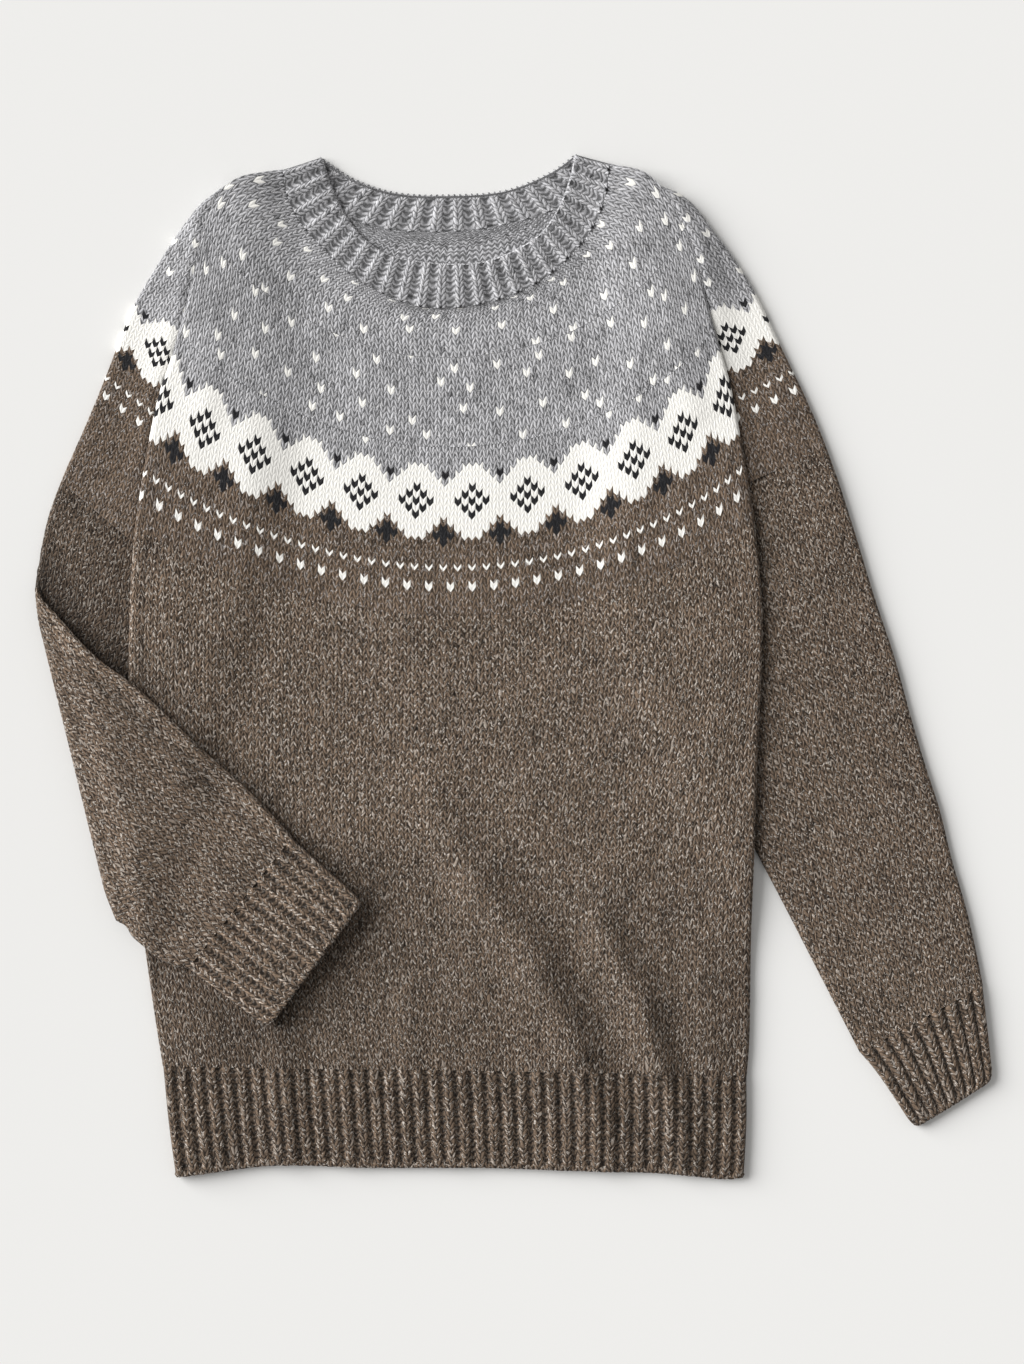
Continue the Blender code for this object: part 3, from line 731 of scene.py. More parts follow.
@dataclass
class Layer:
    """One layer of cloth: its plan, its two heights and how its edges turn over."""

    plan: PlanPatch
    level: HeightField  # height of the outer face away from the sides
    middle: HeightField  # height of the side crease
    up: float  # 1 where the outer face looks up, -1 where it looks down
    crease_radius: float = CREASE_RADIUS
    free_start: bool = False
    free_end: bool = False
    bend: Optional[Bend] = None
    shade: Optional[Shade] = None  # painted shade and highlight on the wool's colour, darker deep under a fold

    def __post_init__(self) -> None:
        """Work out how much longer the cloth is than its plan."""
        self.roll = math.pi * END_RADIUS
        self.start_gain = self.roll - END_RADIUS if self.free_start else 0.0
        end_gain = self.roll - END_RADIUS if self.free_end else 0.0
        self.length = self.plan.length + self.start_gain + end_gain
        self.side_gain = self.crease_radius * (math.pi - 2)

    def width(self, down: Array) -> Array:
        """Width of the cloth, its rounded sides included, at places down the cloth."""
        return self.plan.width(self.turn(down)[0] / self.plan.length) + self.side_gain

    def turn(self, down: Array) -> tuple[Array, Array]:
        """Where a place down the cloth lies on the plan.

        Args:
            down: Distance down the cloth, in millimetres.

        Returns:
            Distance down the plan, and the angle by which a free edge has turned over there.
        """
        down = np.asarray(down, dtype=float)
        flat = down - self.start_gain
        angle = np.zeros_like(down)
        if self.free_start:
            angle = np.where(down < self.roll, down / END_RADIUS - math.pi, angle)
            flat = np.maximum(flat, END_RADIUS)
        if self.free_end:
            last = self.plan.length - END_RADIUS
            angle = np.where(flat > last, (flat - last) / END_RADIUS, angle)
            flat = np.minimum(flat, last)
        return flat, np.clip(angle, -math.pi, math.pi)

    def place(self, share: Array, down: Array, rise: Array) -> Array:
        """Lay points of the cloth in space.

        Args:
            share: Share of the cloth's width.
            down: Distance down the cloth, in millimetres.
            rise: Height over the outer face, along its normal.

        Returns:
            One row of X, Y and Z for each point.
        """
        flat, turned = self.turn(down)
        v = flat / self.plan.length
        width = self.plan.width(v)
        cloth = width + self.side_gain
        reach = share * cloth
        inward = np.minimum(reach, cloth - reach)
        quarter = self.crease_radius * math.pi / 2
        angle = np.clip(inward / self.crease_radius, 0.0, math.pi / 2)
        off = self.crease_radius * (1 - np.cos(angle)) + np.maximum(inward - quarter, 0.0)
        far = reach > cloth / 2
        at = np.where(far, 1 - off / width, off / width)
        xy = self.plan.at(at, v)
        across, along = self.plan.directions(at, v)
        outward = across * np.where(far, 1.0, -1.0)[:, None]
        level = self.level(xy[:, 0], xy[:, 1])
        middle = self.middle(xy[:, 0], xy[:, 1])
        height = middle + (level - middle) * np.sin(angle)
        base = np.column_stack([xy, height])
        normal = np.column_stack([outward * np.cos(angle)[:, None], self.up * np.sin(angle)])
        way = np.column_stack([along, np.zeros(len(along))])
        sine = np.sin(turned)[:, None]
        cosine = np.cos(turned)[:, None]
        facing = cosine * normal + sine * way
        points = base + END_RADIUS * (facing - normal) + facing * rise[:, None]
        return points if self.bend is None else self.bend(points)


class Yarn(Enum):
    """Yarn colours, linear RGB, with the share of heather in each."""

    GREY = ((0.490, 0.487, 0.502), 1.0)
    BROWN = ((0.177, 0.125, 0.087), 1.0)
    CREAM = ((0.960, 0.940, 0.890), 0.0)
    BLACK = ((0.014, 0.014, 0.016), 0.10)


YARNS = list(Yarn)
YARN_COLOURS = np.array([[*yarn.value[0], 1.0] for yarn in YARNS])
YARN_HEATHER = np.array([yarn.value[1] for yarn in YARNS])
GREY, BROWN, CREAM, BLACK = range(len(YARNS))


class Half(Enum):
    """The two layers of the garment as it lies."""

    FRONT = "front"
    BACK = "back"


class Side(Enum):
    """Its two sides, as seen from above."""

    LEFT = "left"
    RIGHT = "right"


# The yoke, front and back, and its sides: columns of the inner face, seeds of the scattered stitches,
# half rows between a side's end and the yoke's last round, and columns by which a side's motifs shift
YOKE_INSIDE_COLUMNS = {Half.FRONT: 24, Half.BACK: 72}
YOKE_SEEDS = {Half.FRONT: 81, Half.BACK: 82}
SIDE_SEEDS = {Side.LEFT: 91, Side.RIGHT: 92}
SIDE_HALF_ROWS_BELOW = {Side.LEFT: 27, Side.RIGHT: 13}
SIDE_SHIFT = 2

Chart = Callable[[Array, Array], Array]
Triangle = tuple[tuple[int, ...], tuple[Array, ...], tuple[float, ...], int, tuple[float, float]]


class NordicChart:
    """Colour chart of the yoke, counted up from its last patterned round.

    Lozenges of cream wool stand side by side over the change from grey to brown, each with an
    eight-pointed figure in near-black. Rounds of large and small stitches run below them, and single
    cream stitches are scattered over the grey. Rounds of small stitches are half a row high.
    """

    REPEAT = 8
    LARGE_HALVES = (7, 8)
    LARGE_EVERY = 3
    SMALL_HALF = 13
    SMALL_EVERY = 2
    BAND_MIDDLE = 16
    BAND_HALF = 5
    GROUND_ROW = 15
    FLECK_FIRST = 24
    FLECK_ROWS = 4
    FLECK_COLUMNS = 6
    FLECK_TABLE = 64  # the scatter repeats after so many rows and columns of its own
    TICK_LOW = -6
    TICK_HIGH = -4
    CROWN = 4

    def __init__(self, seed: int, shift: int = 0, rows_below: float = 0.0) -> None:
        """Set the chart out.

        Args:
            seed: Seed of the scattered stitches.
            shift: Columns by which the motifs are shifted.
            rows_below: Half rows between the piece's end and the yoke's last round.
        """
        self.shift = shift
        self.rows_below = int(round(rows_below))
        size = (self.FLECK_TABLE, self.FLECK_TABLE, 2)
        self.flecks = np.random.default_rng(seed).integers(-1, 2, size=size)

    def __call__(self, place: Array, row_up: Array) -> Array:
        """Yarn of each stitch.

        Args:
            place: Place across, in columns.
            row_up: Half row of each stitch, counted up from the piece's end.

        Returns:
            Index of the yarn of each stitch.
        """
        half = row_up - self.rows_below
        row = np.floor_divide(half, 2)
        across = np.floor(place).astype(int) + self.shift
        yarn = np.where(row > self.GROUND_ROW, GREY, BROWN)
        dx = np.abs((across + self.REPEAT // 2) % self.REPEAT - self.REPEAT // 2)
        rise = row - self.BAND_MIDDLE
        dy = np.abs(rise)
        lozenge = dy <= self.BAND_HALF - np.maximum(dx - 1, 0)
        yarn = np.where(lozenge, CREAM, yarn)
        star = (dx == dy) & (dx <= 1) | (dx + dy == 2) & (dx != dy)
        between = self.REPEAT // 2 - dx
        upright = (between == 0) & (rise <= self.TICK_HIGH) & (rise >= self.TICK_LOW)
        tick = upright | (between == 1) & (rise == self.TICK_LOW + 1)
        crown = (between == 0) & (rise == self.CROWN)
        yarn = np.where(star | tick | crown, BLACK, yarn)
        large = np.isin(half, self.LARGE_HALVES) & (across % self.LARGE_EVERY == 0)
        small = (half == self.SMALL_HALF) & (across % self.SMALL_EVERY == 0)
        return np.where(large | small | self.scattered(across, row), CREAM, yarn)

    def scattered(self, column: Array, row: Array) -> Array:
        """Find the single cream stitches over the grey.

        Args:
            column: Column of each stitch.
            row: Row of each stitch, counted up from the last patterned round.

        Returns:
            Whether each stitch is one of them.
        """
        high = row - self.FLECK_FIRST
        line = np.floor_divide(high, self.FLECK_ROWS)
        moved = column + (line % 2) * (self.FLECK_COLUMNS // 2)
        cell = np.floor_divide(moved, self.FLECK_COLUMNS)
        nudge = self.flecks[line % self.FLECK_TABLE, cell % self.FLECK_TABLE]
        in_row = high % self.FLECK_ROWS == 1 + nudge[..., 0]
        return (high >= 0) & in_row & (moved % self.FLECK_COLUMNS == 2 + nudge[..., 1])


def plain_chart(yarn: int) -> Chart:
    """Chart of a piece in one yarn."""
    return lambda place, row_up: np.full(np.broadcast(place, row_up).shape, yarn)


@dataclass(frozen=True)
class Fabric:
    """How one repeat of knitting is laid out across the cloth.

    u is the column, spot the place in the repeat, slant how far the row line has dropped, rise the
    height of the cloth, and purl and tone are for the span after each point. Tone is painted light and
    shade, a factor on the wool's colour.
    """

    columns: int
    u: tuple[float, ...]
    spot: tuple[float, ...]
    slant: tuple[float, ...]
    rise: tuple[float, ...]
    purl: tuple[float, ...]
    tone: tuple[float, ...]


PLAIN_KNIT = Fabric(
    columns=1,
    u=(0.0, 0.25, 0.5, 0.75),
    spot=(0.0, 0.25, 0.5, 0.75),
    slant=(1.0, 0.5, 0.0, 0.5),
    rise=(-0.15, 0.25, -0.2, 0.25),
    purl=(0.0,) * 4,
    tone=(1.0,) * 4,
)
FLAT_KNIT = Fabric(
    columns=1,
    u=(0.0, 0.5),
    spot=(0.0, 0.5),
    slant=(1.0, 0.0),
    rise=(-0.15, -0.05),
    purl=(0.0,) * 2,
    tone=(1.0,) * 2,
)
PURL_SIDE = Fabric(
    columns=1,
    u=(0.0, 0.5),
    spot=(0.0, 0.5),
    slant=(0.35, 0.0),
    rise=(0.0, 0.0),
    purl=(1.0,) * 2,
    tone=(1.05,) * 2,
)


def rib_fabric(
    height: float, purl_share: float, groove_shade: float, leg_shading: tuple[float, float]
) -> Fabric:
    """One-by-one rib: a raised knit column and a sunk purl one.

    Args:
        height: Half of the height between the ribs and the grooves.
        purl_share: Share of the repeat that is purl.
        groove_shade: Brightness of the sunk purl column, painted shade in the groove.
        leg_shading: Painted light and shade of the knit column, at its sides and along its middle.

    Returns:
        The layout of one rib.
    """
    half = purl_share / 2
    leg = (1 - purl_share) / 4
    side, middle = leg_shading
    turn = 0.5 * (side + groove_shade)
    return Fabric(
        columns=2,
        u=tuple(0.5 + 0.25 * i for i in range(8)),
        spot=(0.0, half / 2) + tuple(half + leg * i for i in range(5)) + (1 - half / 2,),
        slant=(1.0, 1.0, 1.0, 0.5, 0.0, 0.5, 1.0, 1.0),
        rise=tuple(height * value for value in (-1.15, -0.95, -0.1, 1.0, 0.75, 1.0, -0.1, -0.95)),
        purl=(1.0, 1.0, 0.0, 0.0, 0.0, 0.0, 1.0, 1.0),
        tone=(groove_shade, turn, side, middle, middle, side, turn, groove_shade),
    )


@dataclass
class Line:
    """One row line of a lattice, or one border, ready to be sewn to another."""

    ids: Array
    at: Array
    uv: Array
    tone: Array


class ClothMesh:
    """Gathers the faces of one piece and makes a closed shell of them."""

    def __init__(self) -> None:
        """Start without points."""
        self.points: list[Array] = []
        self.count = 0
        self.quads: list[Array] = []
        self.quad_uvs: list[Array] = []
        self.quad_yarns: list[Array] = []
        self.quad_marks: list[Array] = []
        self.quad_tones: list[Array] = []
        self.triangles: list[Triangle] = []  # points, UVs, painted shade of each corner, yarn, purl and tone

    def line(self, points: Array, at: Array, uv: Array, tone: Array) -> Line:
        """Add a row of points.

        Args:
            points: The places.
            at: Share of the row at each point.
            uv: Column and row of the knitting at each point.
            tone: Painted shade and highlight on the wool's colour at each point.

        Returns:
            The line.
        """
        ids = np.arange(self.count, self.count + len(points))
        self.points.append(points)
        self.count += len(points)
        return Line(ids, np.asarray(at, dtype=float), uv, tone)

    def sew_quads(self, a: Line, b: Line, yarns: Array, marks: Array, flip: bool) -> None:
        """Join two lines point by point.

        Args:
            a: The upper line.
            b: The lower line.
            yarns: Yarn of each span.
            marks: Purl and tone of each span; tone is painted light and shade.
            flip: Whether the face looks the other way.
        """
        n = len(yarns)
        corners = [(a, 0), (b, 0), (b, 1), (a, 1)]
        if flip:
            corners = corners[::-1]
        self.quads.append(np.stack([line.ids[step : step + n] for line, step in corners], axis=1))
        self.quad_uvs.append(np.stack([line.uv[step : step + n] for line, step in corners], axis=1))
        self.quad_tones.append(np.stack([line.tone[step : step + n] for line, step in corners], axis=1))
        self.quad_yarns.append(yarns)
        self.quad_marks.append(marks)

    def sew_strip(self, a: Line, b: Line, yarn: int, mark: tuple[float, float], flip: bool) -> None:
        """Join two lines that don't have the same number of points.

        Args:
            a: The upper line.
            b: The lower line.
            yarn: Yarn of the strip.
            mark: Purl and tone of the strip; tone is painted light and shade.
            flip: Whether the face looks the other way.
        """
        i = j = 0
        while i < len(a.ids) - 1 or j < len(b.ids) - 1:
            down_first = j < len(b.ids) - 1 and (i == len(a.ids) - 1 or b.at[j + 1] <= a.at[i + 1])
            if down_first:
                spots = ((a, i), (b, j), (b, j + 1))
                j += 1
            else:
                spots = ((a, i), (b, j), (a, i + 1))
                i += 1
            if flip:
                spots = spots[::-1]
            ids = tuple(int(line.ids[k]) for line, k in spots)
            uvs = tuple(line.uv[k] for line, k in spots)
            tones = tuple(float(line.tone[k]) for line, k in spots)
            self.triangles.append((ids, uvs, tones, yarn, mark))

    def build(self, name: str, material: bpy.types.Material) -> bpy.types.Object:
        """Make the object.

        Args:
            name: The object's name.
            material: Its finish.

        Returns:
            A closed, smooth shaded mesh object.
        """
        points = np.vstack(self.points) * MM
        mesh = bpy.data.meshes.new(name)
        faces = np.vstack(self.quads).tolist() + [list(one[0]) for one in self.triangles]
        mesh.from_pydata(points.tolist(), [], faces)
        self.mark_corners(mesh)
        cloth = bmesh.new()
        cloth.from_mesh(mesh)
        bmesh.ops.remove_doubles(cloth, verts=cloth.verts, dist=MERGE_DISTANCE)
        self.close_gaps(cloth)
        bmesh.ops.recalc_face_normals(cloth, faces=cloth.faces)
        cloth.to_mesh(mesh)
        cloth.free()
        mesh.shade_smooth()
        mesh.set_sharp_from_angle(angle=SHARP_ANGLE)
        mesh.materials.append(material)
        item = bpy.data.objects.new(name, mesh)
        bpy.context.scene.collection.objects.link(item)
        return item

    def mark_corners(self, mesh: bpy.types.Mesh) -> None:
        """Give each corner its place in the knitting, its yarn, and its heather, purl and painted shade.

        Args:
            mesh: The mesh, with a face for each quad and then each triangle.
        """
        uvs = [np.vstack(self.quad_uvs).reshape(-1, 2)]
        yarns = [np.repeat(np.concatenate(self.quad_yarns), 4)]
        marks = [np.repeat(np.vstack(self.quad_marks), 4, axis=0)]
        tones = [np.vstack(self.quad_tones).ravel()]
        if self.triangles:
            uvs.append(np.array([uv for one in self.triangles for uv in one[1]]))
            tones.append(np.array([tone for one in self.triangles for tone in one[2]]))
            yarns.append(np.repeat([one[3] for one in self.triangles], 3))
            marks.append(np.repeat([one[4] for one in self.triangles], 3, axis=0))
        layer = mesh.uv_layers.new(name="knit")
        layer.data.foreach_set("uv", np.concatenate(uvs).astype(np.float32).ravel())
        yarn = np.concatenate(yarns).astype(int)
        mark = np.concatenate(marks) * np.column_stack([np.ones(len(yarn)), np.concatenate(tones)])
        colour = mesh.color_attributes.new("yarn", "FLOAT_COLOR", "CORNER")
        colour.data.foreach_set("color", YARN_COLOURS[yarn].astype(np.float32).ravel())
        values = np.column_stack([YARN_HEATHER[yarn], mark, np.ones(len(yarn))])
        marking = mesh.color_attributes.new("stitch", "FLOAT_COLOR", "CORNER")
        marking.data.foreach_set("color", values.astype(np.float32).ravel())

    @staticmethod
    def close_gaps(cloth: bmesh.types.BMesh) -> None:
        """Fill small gaps that merging leaves where two inner faces meet, in the yarn beside them.

        Args:
            cloth: The shell.
        """
        rim = [edge for edge in cloth.edges if len(edge.link_faces) == 1]
        if not rim:
            return
        closed = bmesh.ops.holes_fill(cloth, edges=rim, sides=0)["faces"]
        for face in closed:
            beside = next(one for edge in face.edges for one in edge.link_faces if one not in closed)
            face.copy_from_face_interp(beside)


@dataclass
class Border:
    """The four edges of a face of cloth, as lines."""

    first: Line
    last: Line
    left: Line
    right: Line


@dataclass
class Face:
    """One face of a layer, as a lattice of stitches.

    repeats is the number of repeats across. Where it is 0, repeats have the width of repeat_width and
    those at the far side stop where the cloth narrows.
    """

    layer: Layer
    fabric: Fabric
    repeats: int
    chart: Chart
    outside: bool = True
    thickness: float = WALL
    repeat_width: float = COLUMN
    row: float = HALF_ROW
    first: float = 0.0
    last: Optional[float] = None
    first_column: int = 0
    cord: float = 0.0  # length of the bound-off edge, besides the cloth that turns over
    relief: Optional[Callable[[Array, Array], Array]] = None
    spare: float = 0.3  # share of a column that stays free where columns stop at the far side

    def knit(self, cloth: ClothMesh) -> Border:
        """Add the face to a mesh.

        Args:
            cloth: The mesh.

        Returns:
            The face's edges.
        """
        last = self.layer.length if self.last is None else self.last
        span = last - self.first
        rows = max(1, int(round(span / self.row)))
        height = span / rows
        sense = -self.layer.plan.handedness() * self.layer.up * (1 if self.outside else -1)
        lines = []
        extra = math.ceil(SLANT * max(self.fabric.slant) * ROW / height)
        for k in range(rows + extra + 1):
            line, repeats = self.row_line(cloth, k, height, span)
            if lines:
                above = self.first + min(max((k - 1) * height, 0.0), span)
                bound = self.bound_off(np.array([above]))[0] > 0.5
                self.sew(cloth, lines[-1], line, rows - k, sense < 0, bound)
            lines.append((line, repeats))
        rows_of = [line for line, _ in lines]
        sides = []
        for end in (0, -1):
            ids = np.array([line.ids[end] for line in rows_of])
            at = np.arange(len(ids)) / (len(ids) - 1)
            uvs = np.array([line.uv[end] for line in rows_of])
            sides.append(Line(ids, at, uvs, np.array([line.tone[end] for line in rows_of])))
        return Border(rows_of[0], rows_of[-1], sides[0], sides[1])

    def bound_off(self, down: Array) -> Array:
        """Find the bound-off edge.

        Args:
            down: Places down the cloth, in millimetres.

        Returns:
            Share of the bound-off edge in the cloth at each place.
        """
        share = np.zeros_like(down)
        if not self.cord:
            return share
        if self.layer.free_start:
            start = self.layer.roll if self.outside else self.first
            share = smoothstep((start + self.cord - down) / CORD_EASE)
        if self.layer.free_end:
            end = self.layer.length - self.layer.roll
            share = np.maximum(share, smoothstep((down - end + self.cord) / CORD_EASE))
        return share

    def row_line(self, cloth: ClothMesh, k: int, height: float, span: float) -> tuple[Line, int]:
        """Add one row line.

        Args:
            cloth: The mesh.
            k: Number of the line.
            height: Height of a row.
            span: Length of the face down the cloth.

        Returns:
            The line and the number of whole repeats in it.
        """
        fabric = self.fabric
        nominal = self.first + min(max(k * height - SLANT * ROW / 2, 0.0), span)
        width = float(self.layer.width(np.array([nominal]))[0])
        repeats = self.repeats or max(1, int(width / self.repeat_width - self.spare))
        step = 1 / repeats if self.repeats else self.repeat_width / width
        number = np.arange(repeats)[:, None]
        share = np.append(((number + np.array(fabric.spot)) * step).ravel(), 1.0)
        far = fabric.columns / step + fabric.u[0]
        u = np.append((number * fabric.columns + np.array(fabric.u)).ravel(), far)
        slant = np.append(np.tile(fabric.slant, repeats), fabric.slant[0])
        rise = np.append(np.tile(fabric.rise, repeats), fabric.rise[0])
        down = np.clip(k * height - SLANT * slant * ROW, 0.0, span)
        rise = np.where(rise > 0, rise * (1 + BEAT * (-1) ** (k + 1)), rise)
        bound = self.bound_off(self.first + down)
        rise = rise * (1 - bound) + CORD_RISE * bound
        if not self.outside:
            rise = -self.thickness - rise
        elif self.relief is not None:
            rise = rise + self.relief(share, self.first + down)
        points = self.layer.place(share, self.first + down, rise)
        tone = np.ones(len(points)) if self.layer.shade is None else self.layer.shade(points)
        v = (self.first + down) / ROW + SLANT * slant
        return cloth.line(points, share, np.column_stack([u + self.first_column, v]), tone), repeats

    def sew(
        self, cloth: ClothMesh, before: tuple[Line, int], line: Line, row_up: int, flip: bool, bound: bool
    ) -> None:
        """Join a row line to the one before it.

        Args:
            cloth: The mesh.
            before: The line before, and its repeats.
            line: The new line.
            row_up: Row of the stitches between them, counted up from the last one.
            flip: Whether the face looks the other way.
            bound: Whether they belong to the bound-off edge.
        """
        above, _ = before
        fabric = self.fabric
        common = min(len(above.ids), len(line.ids)) - 1
        aligned = common if len(above.ids) == len(line.ids) and self.repeats else common - 1
        index = np.arange(aligned)
        per = len(fabric.u)
        spans = index % per
        place = (index // per) * fabric.columns + np.array(fabric.u)[spans] + self.first_column
        yarns = self.chart(place, np.full(aligned, row_up))
        marks = np.column_stack([np.array(fabric.purl)[spans], np.array(fabric.tone)[spans]])
        if bound:
            marks = np.tile([0.0, CORD_HIGHLIGHT], (aligned, 1))
        cloth.sew_quads(above, line, yarns, marks, flip)
        if aligned < max(len(above.ids), len(line.ids)) - 1:
            rests = [
                Line(one.ids[aligned:], one.at[aligned:], one.uv[aligned:], one.tone[aligned:])
                for one in (above, line)
            ]
            yarn = int(self.chart(place[-1:], np.array([row_up]))[0])
            cloth.sew_strip(rests[0], rests[1], yarn, (fabric.purl[0], fabric.tone[0]), flip)


def close_rim(cloth: ClothMesh, outer: Line, inner: Line, yarn: int) -> None:
    """Close the gap between an edge of the outer face and the same edge of the inner one."""
    cloth.sew_strip(outer, inner, yarn, (0.0, RIM_TONE), False)


def close_panel(cloth: ClothMesh, outer: Sequence[Border], inner: Sequence[Border], yarn: int) -> None:
    """Close a layer that stands alone, all round.

    Args:
        cloth: The mesh.
        outer: Edges of the outer face's zones, from the first to the last.
        inner: Edges of the inner face's zones.
        yarn: Yarn of the rim.
    """
    close_rim(cloth, outer[0].first, inner[0].first, yarn)
    close_rim(cloth, outer[-1].last, inner[-1].last, yarn)
    close_rim(cloth, joined([one.left for one in outer]), joined([one.left for one in inner]), yarn)
    close_rim(cloth, joined([one.right for one in outer]), joined([one.right for one in inner]), yarn)


def joined(lines: Sequence[Line]) -> Line:
    """Run lines together into one, with each taking its share by its number of points.

    Args:
        lines: The lines, in order.

    Returns:
        One line through all their points.
    """
    total = sum(len(line.ids) for line in lines)
    ids = np.concatenate([line.ids for line in lines])
    tones = np.concatenate([line.tone for line in lines])
    return Line(ids, np.arange(total) / (total - 1), np.vstack([line.uv for line in lines]), tones)


class Wire:
    """A shader socket that takes part in Python arithmetic."""

    def __init__(self, graph: "Graph", socket: bpy.types.NodeSocket) -> None:
        """Wrap a socket of a graph."""
        self.graph = graph
        self.socket = socket

    def math(self, operation: str, *others: Union["Wire", float], first: bool = True) -> "Wire":
        """Add a Math node.

        Args:
            operation: The node's operation.
            others: The other operands.
            first: Whether this wire is the first operand.

        Returns:
            The node's value.
        """
        operands = (self, *others) if first else (*others, self)
        return self.graph.node("ShaderNodeMath", {"operation": operation}, dict(enumerate(operands)))

    def __add__(self, other: Union["Wire", float]) -> "Wire":
        """Sum."""
        return self.math("ADD", other)

    __radd__ = __add__

    def __mul__(self, other: Union["Wire", float]) -> "Wire":
        """Product."""
        return self.math("MULTIPLY", other)

    __rmul__ = __mul__

    def __sub__(self, other: Union["Wire", float]) -> "Wire":
        """Difference."""
        return self.math("SUBTRACT", other)

    def __rsub__(self, other: float) -> "Wire":
        """Difference from a number."""
        return self.math("SUBTRACT", other, first=False)

    def frac(self) -> "Wire":
        """Part after the point."""
        return self.math("FRACT")

    def floor(self) -> "Wire":
        """Whole part."""
        return self.math("FLOOR")

    def size(self) -> "Wire":
        """Distance from 0."""
        return self.math("ABSOLUTE")

    def at_least(self, low: float) -> "Wire":
        """This value, or low where it is less."""
        return self.math("MAXIMUM", low)

    def cosine(self) -> "Wire":
        """Cosine of an angle in radians."""
        return self.math("COSINE")

    def between(self, low: float, high: float) -> "Wire":
        """Ease from 0 at low to 1 at high.

        Args:
            low: Value that gives 0.
            high: Value that gives 1.

        Returns:
            The eased value.
        """
        settings = {"interpolation_type": "SMOOTHSTEP"}
        values = {"Value": self, "From Min": low, "From Max": high, "To Min": 0.0, "To Max": 1.0}
        return self.graph.node("ShaderNodeMapRange", settings, values)


class Graph:
    """The node tree of one material."""

    def __init__(self, name: str) -> None:
        """Start a material with only its output.

        Args:
            name: The material's name.
        """
        self.material = bpy.data.materials.new(name)
        self.material.use_nodes = True
        self.nodes = self.material.node_tree.nodes
        self.nodes.clear()
        self.output = self.nodes.new("ShaderNodeOutputMaterial")

    def node(
        self,
        kind: str,
        settings: Optional[dict] = None,
        values: Optional[dict] = None,
        out: Union[int, str] = 0,
    ) -> Wire:
        """Add a node.

        Args:
            kind: The node's type.
            settings: Its own settings, which are set first.
            values: Numbers, colours or wires by the socket's name or number.
            out: The output that is wanted.

        Returns:
            That output.
        """
        made = self.nodes.new(kind)
        for key, value in (settings or {}).items():
            setattr(made, key, value)
        for key, value in (values or {}).items():
            socket = made.inputs[key]
            if isinstance(value, Wire):
                self.material.node_tree.links.new(value.socket, socket)
            else:
                socket.default_value = value
        return Wire(self, made.outputs[out])

    def mix(self, factor: Union[Wire, float], a: Union[Wire, tuple], b: Union[Wire, tuple]) -> Wire:
        """Mix two colours.

        Args:
            factor: Share of the second one.
            a: The first colour.
            b: The second colour.

        Returns:
            The mixed colour.
        """
        settings = {"data_type": "RGBA", "blend_type": "MIX"}
        return self.node("ShaderNodeMix", settings, {0: factor, 6: a, 7: b}, out=2)

    def scale(self, colour: Union[Wire, tuple], factor: Union[Wire, float]) -> Wire:
        """Multiply a colour by a value."""
        return self.node("ShaderNodeVectorMath", {"operation": "SCALE"}, {0: colour, "Scale": factor})

    def noise(self, vector: Wire, scale: float, detail: float = 2.0, roughness: float = 0.5) -> Wire:
        """Noise from 0 to 1 over a vector."""
        values = {"Vector": vector, "Scale": scale, "Detail": detail, "Roughness": roughness}
        return self.node("ShaderNodeTexNoise", {"noise_dimensions": "3D"}, values)

    def combine(self, x: Union[Wire, float], y: Union[Wire, float], z: Union[Wire, float] = 0.0) -> Wire:
        """Vector of three values."""
        return self.node("ShaderNodeCombineXYZ", None, {0: x, 1: y, 2: z})

    def white(self, x: Wire, y: Wire, z: float) -> Wire:
        """One even random value for each cell."""
        vector = self.combine(x, y, z)
        return self.node("ShaderNodeTexWhiteNoise", {"noise_dimensions": "3D"}, {"Vector": vector})

    def shade(self, shader: Wire) -> bpy.types.Material:
        """Connect the surface shader and return the material."""
        self.material.node_tree.links.new(shader.socket, self.output.inputs["Surface"])
        return self.material


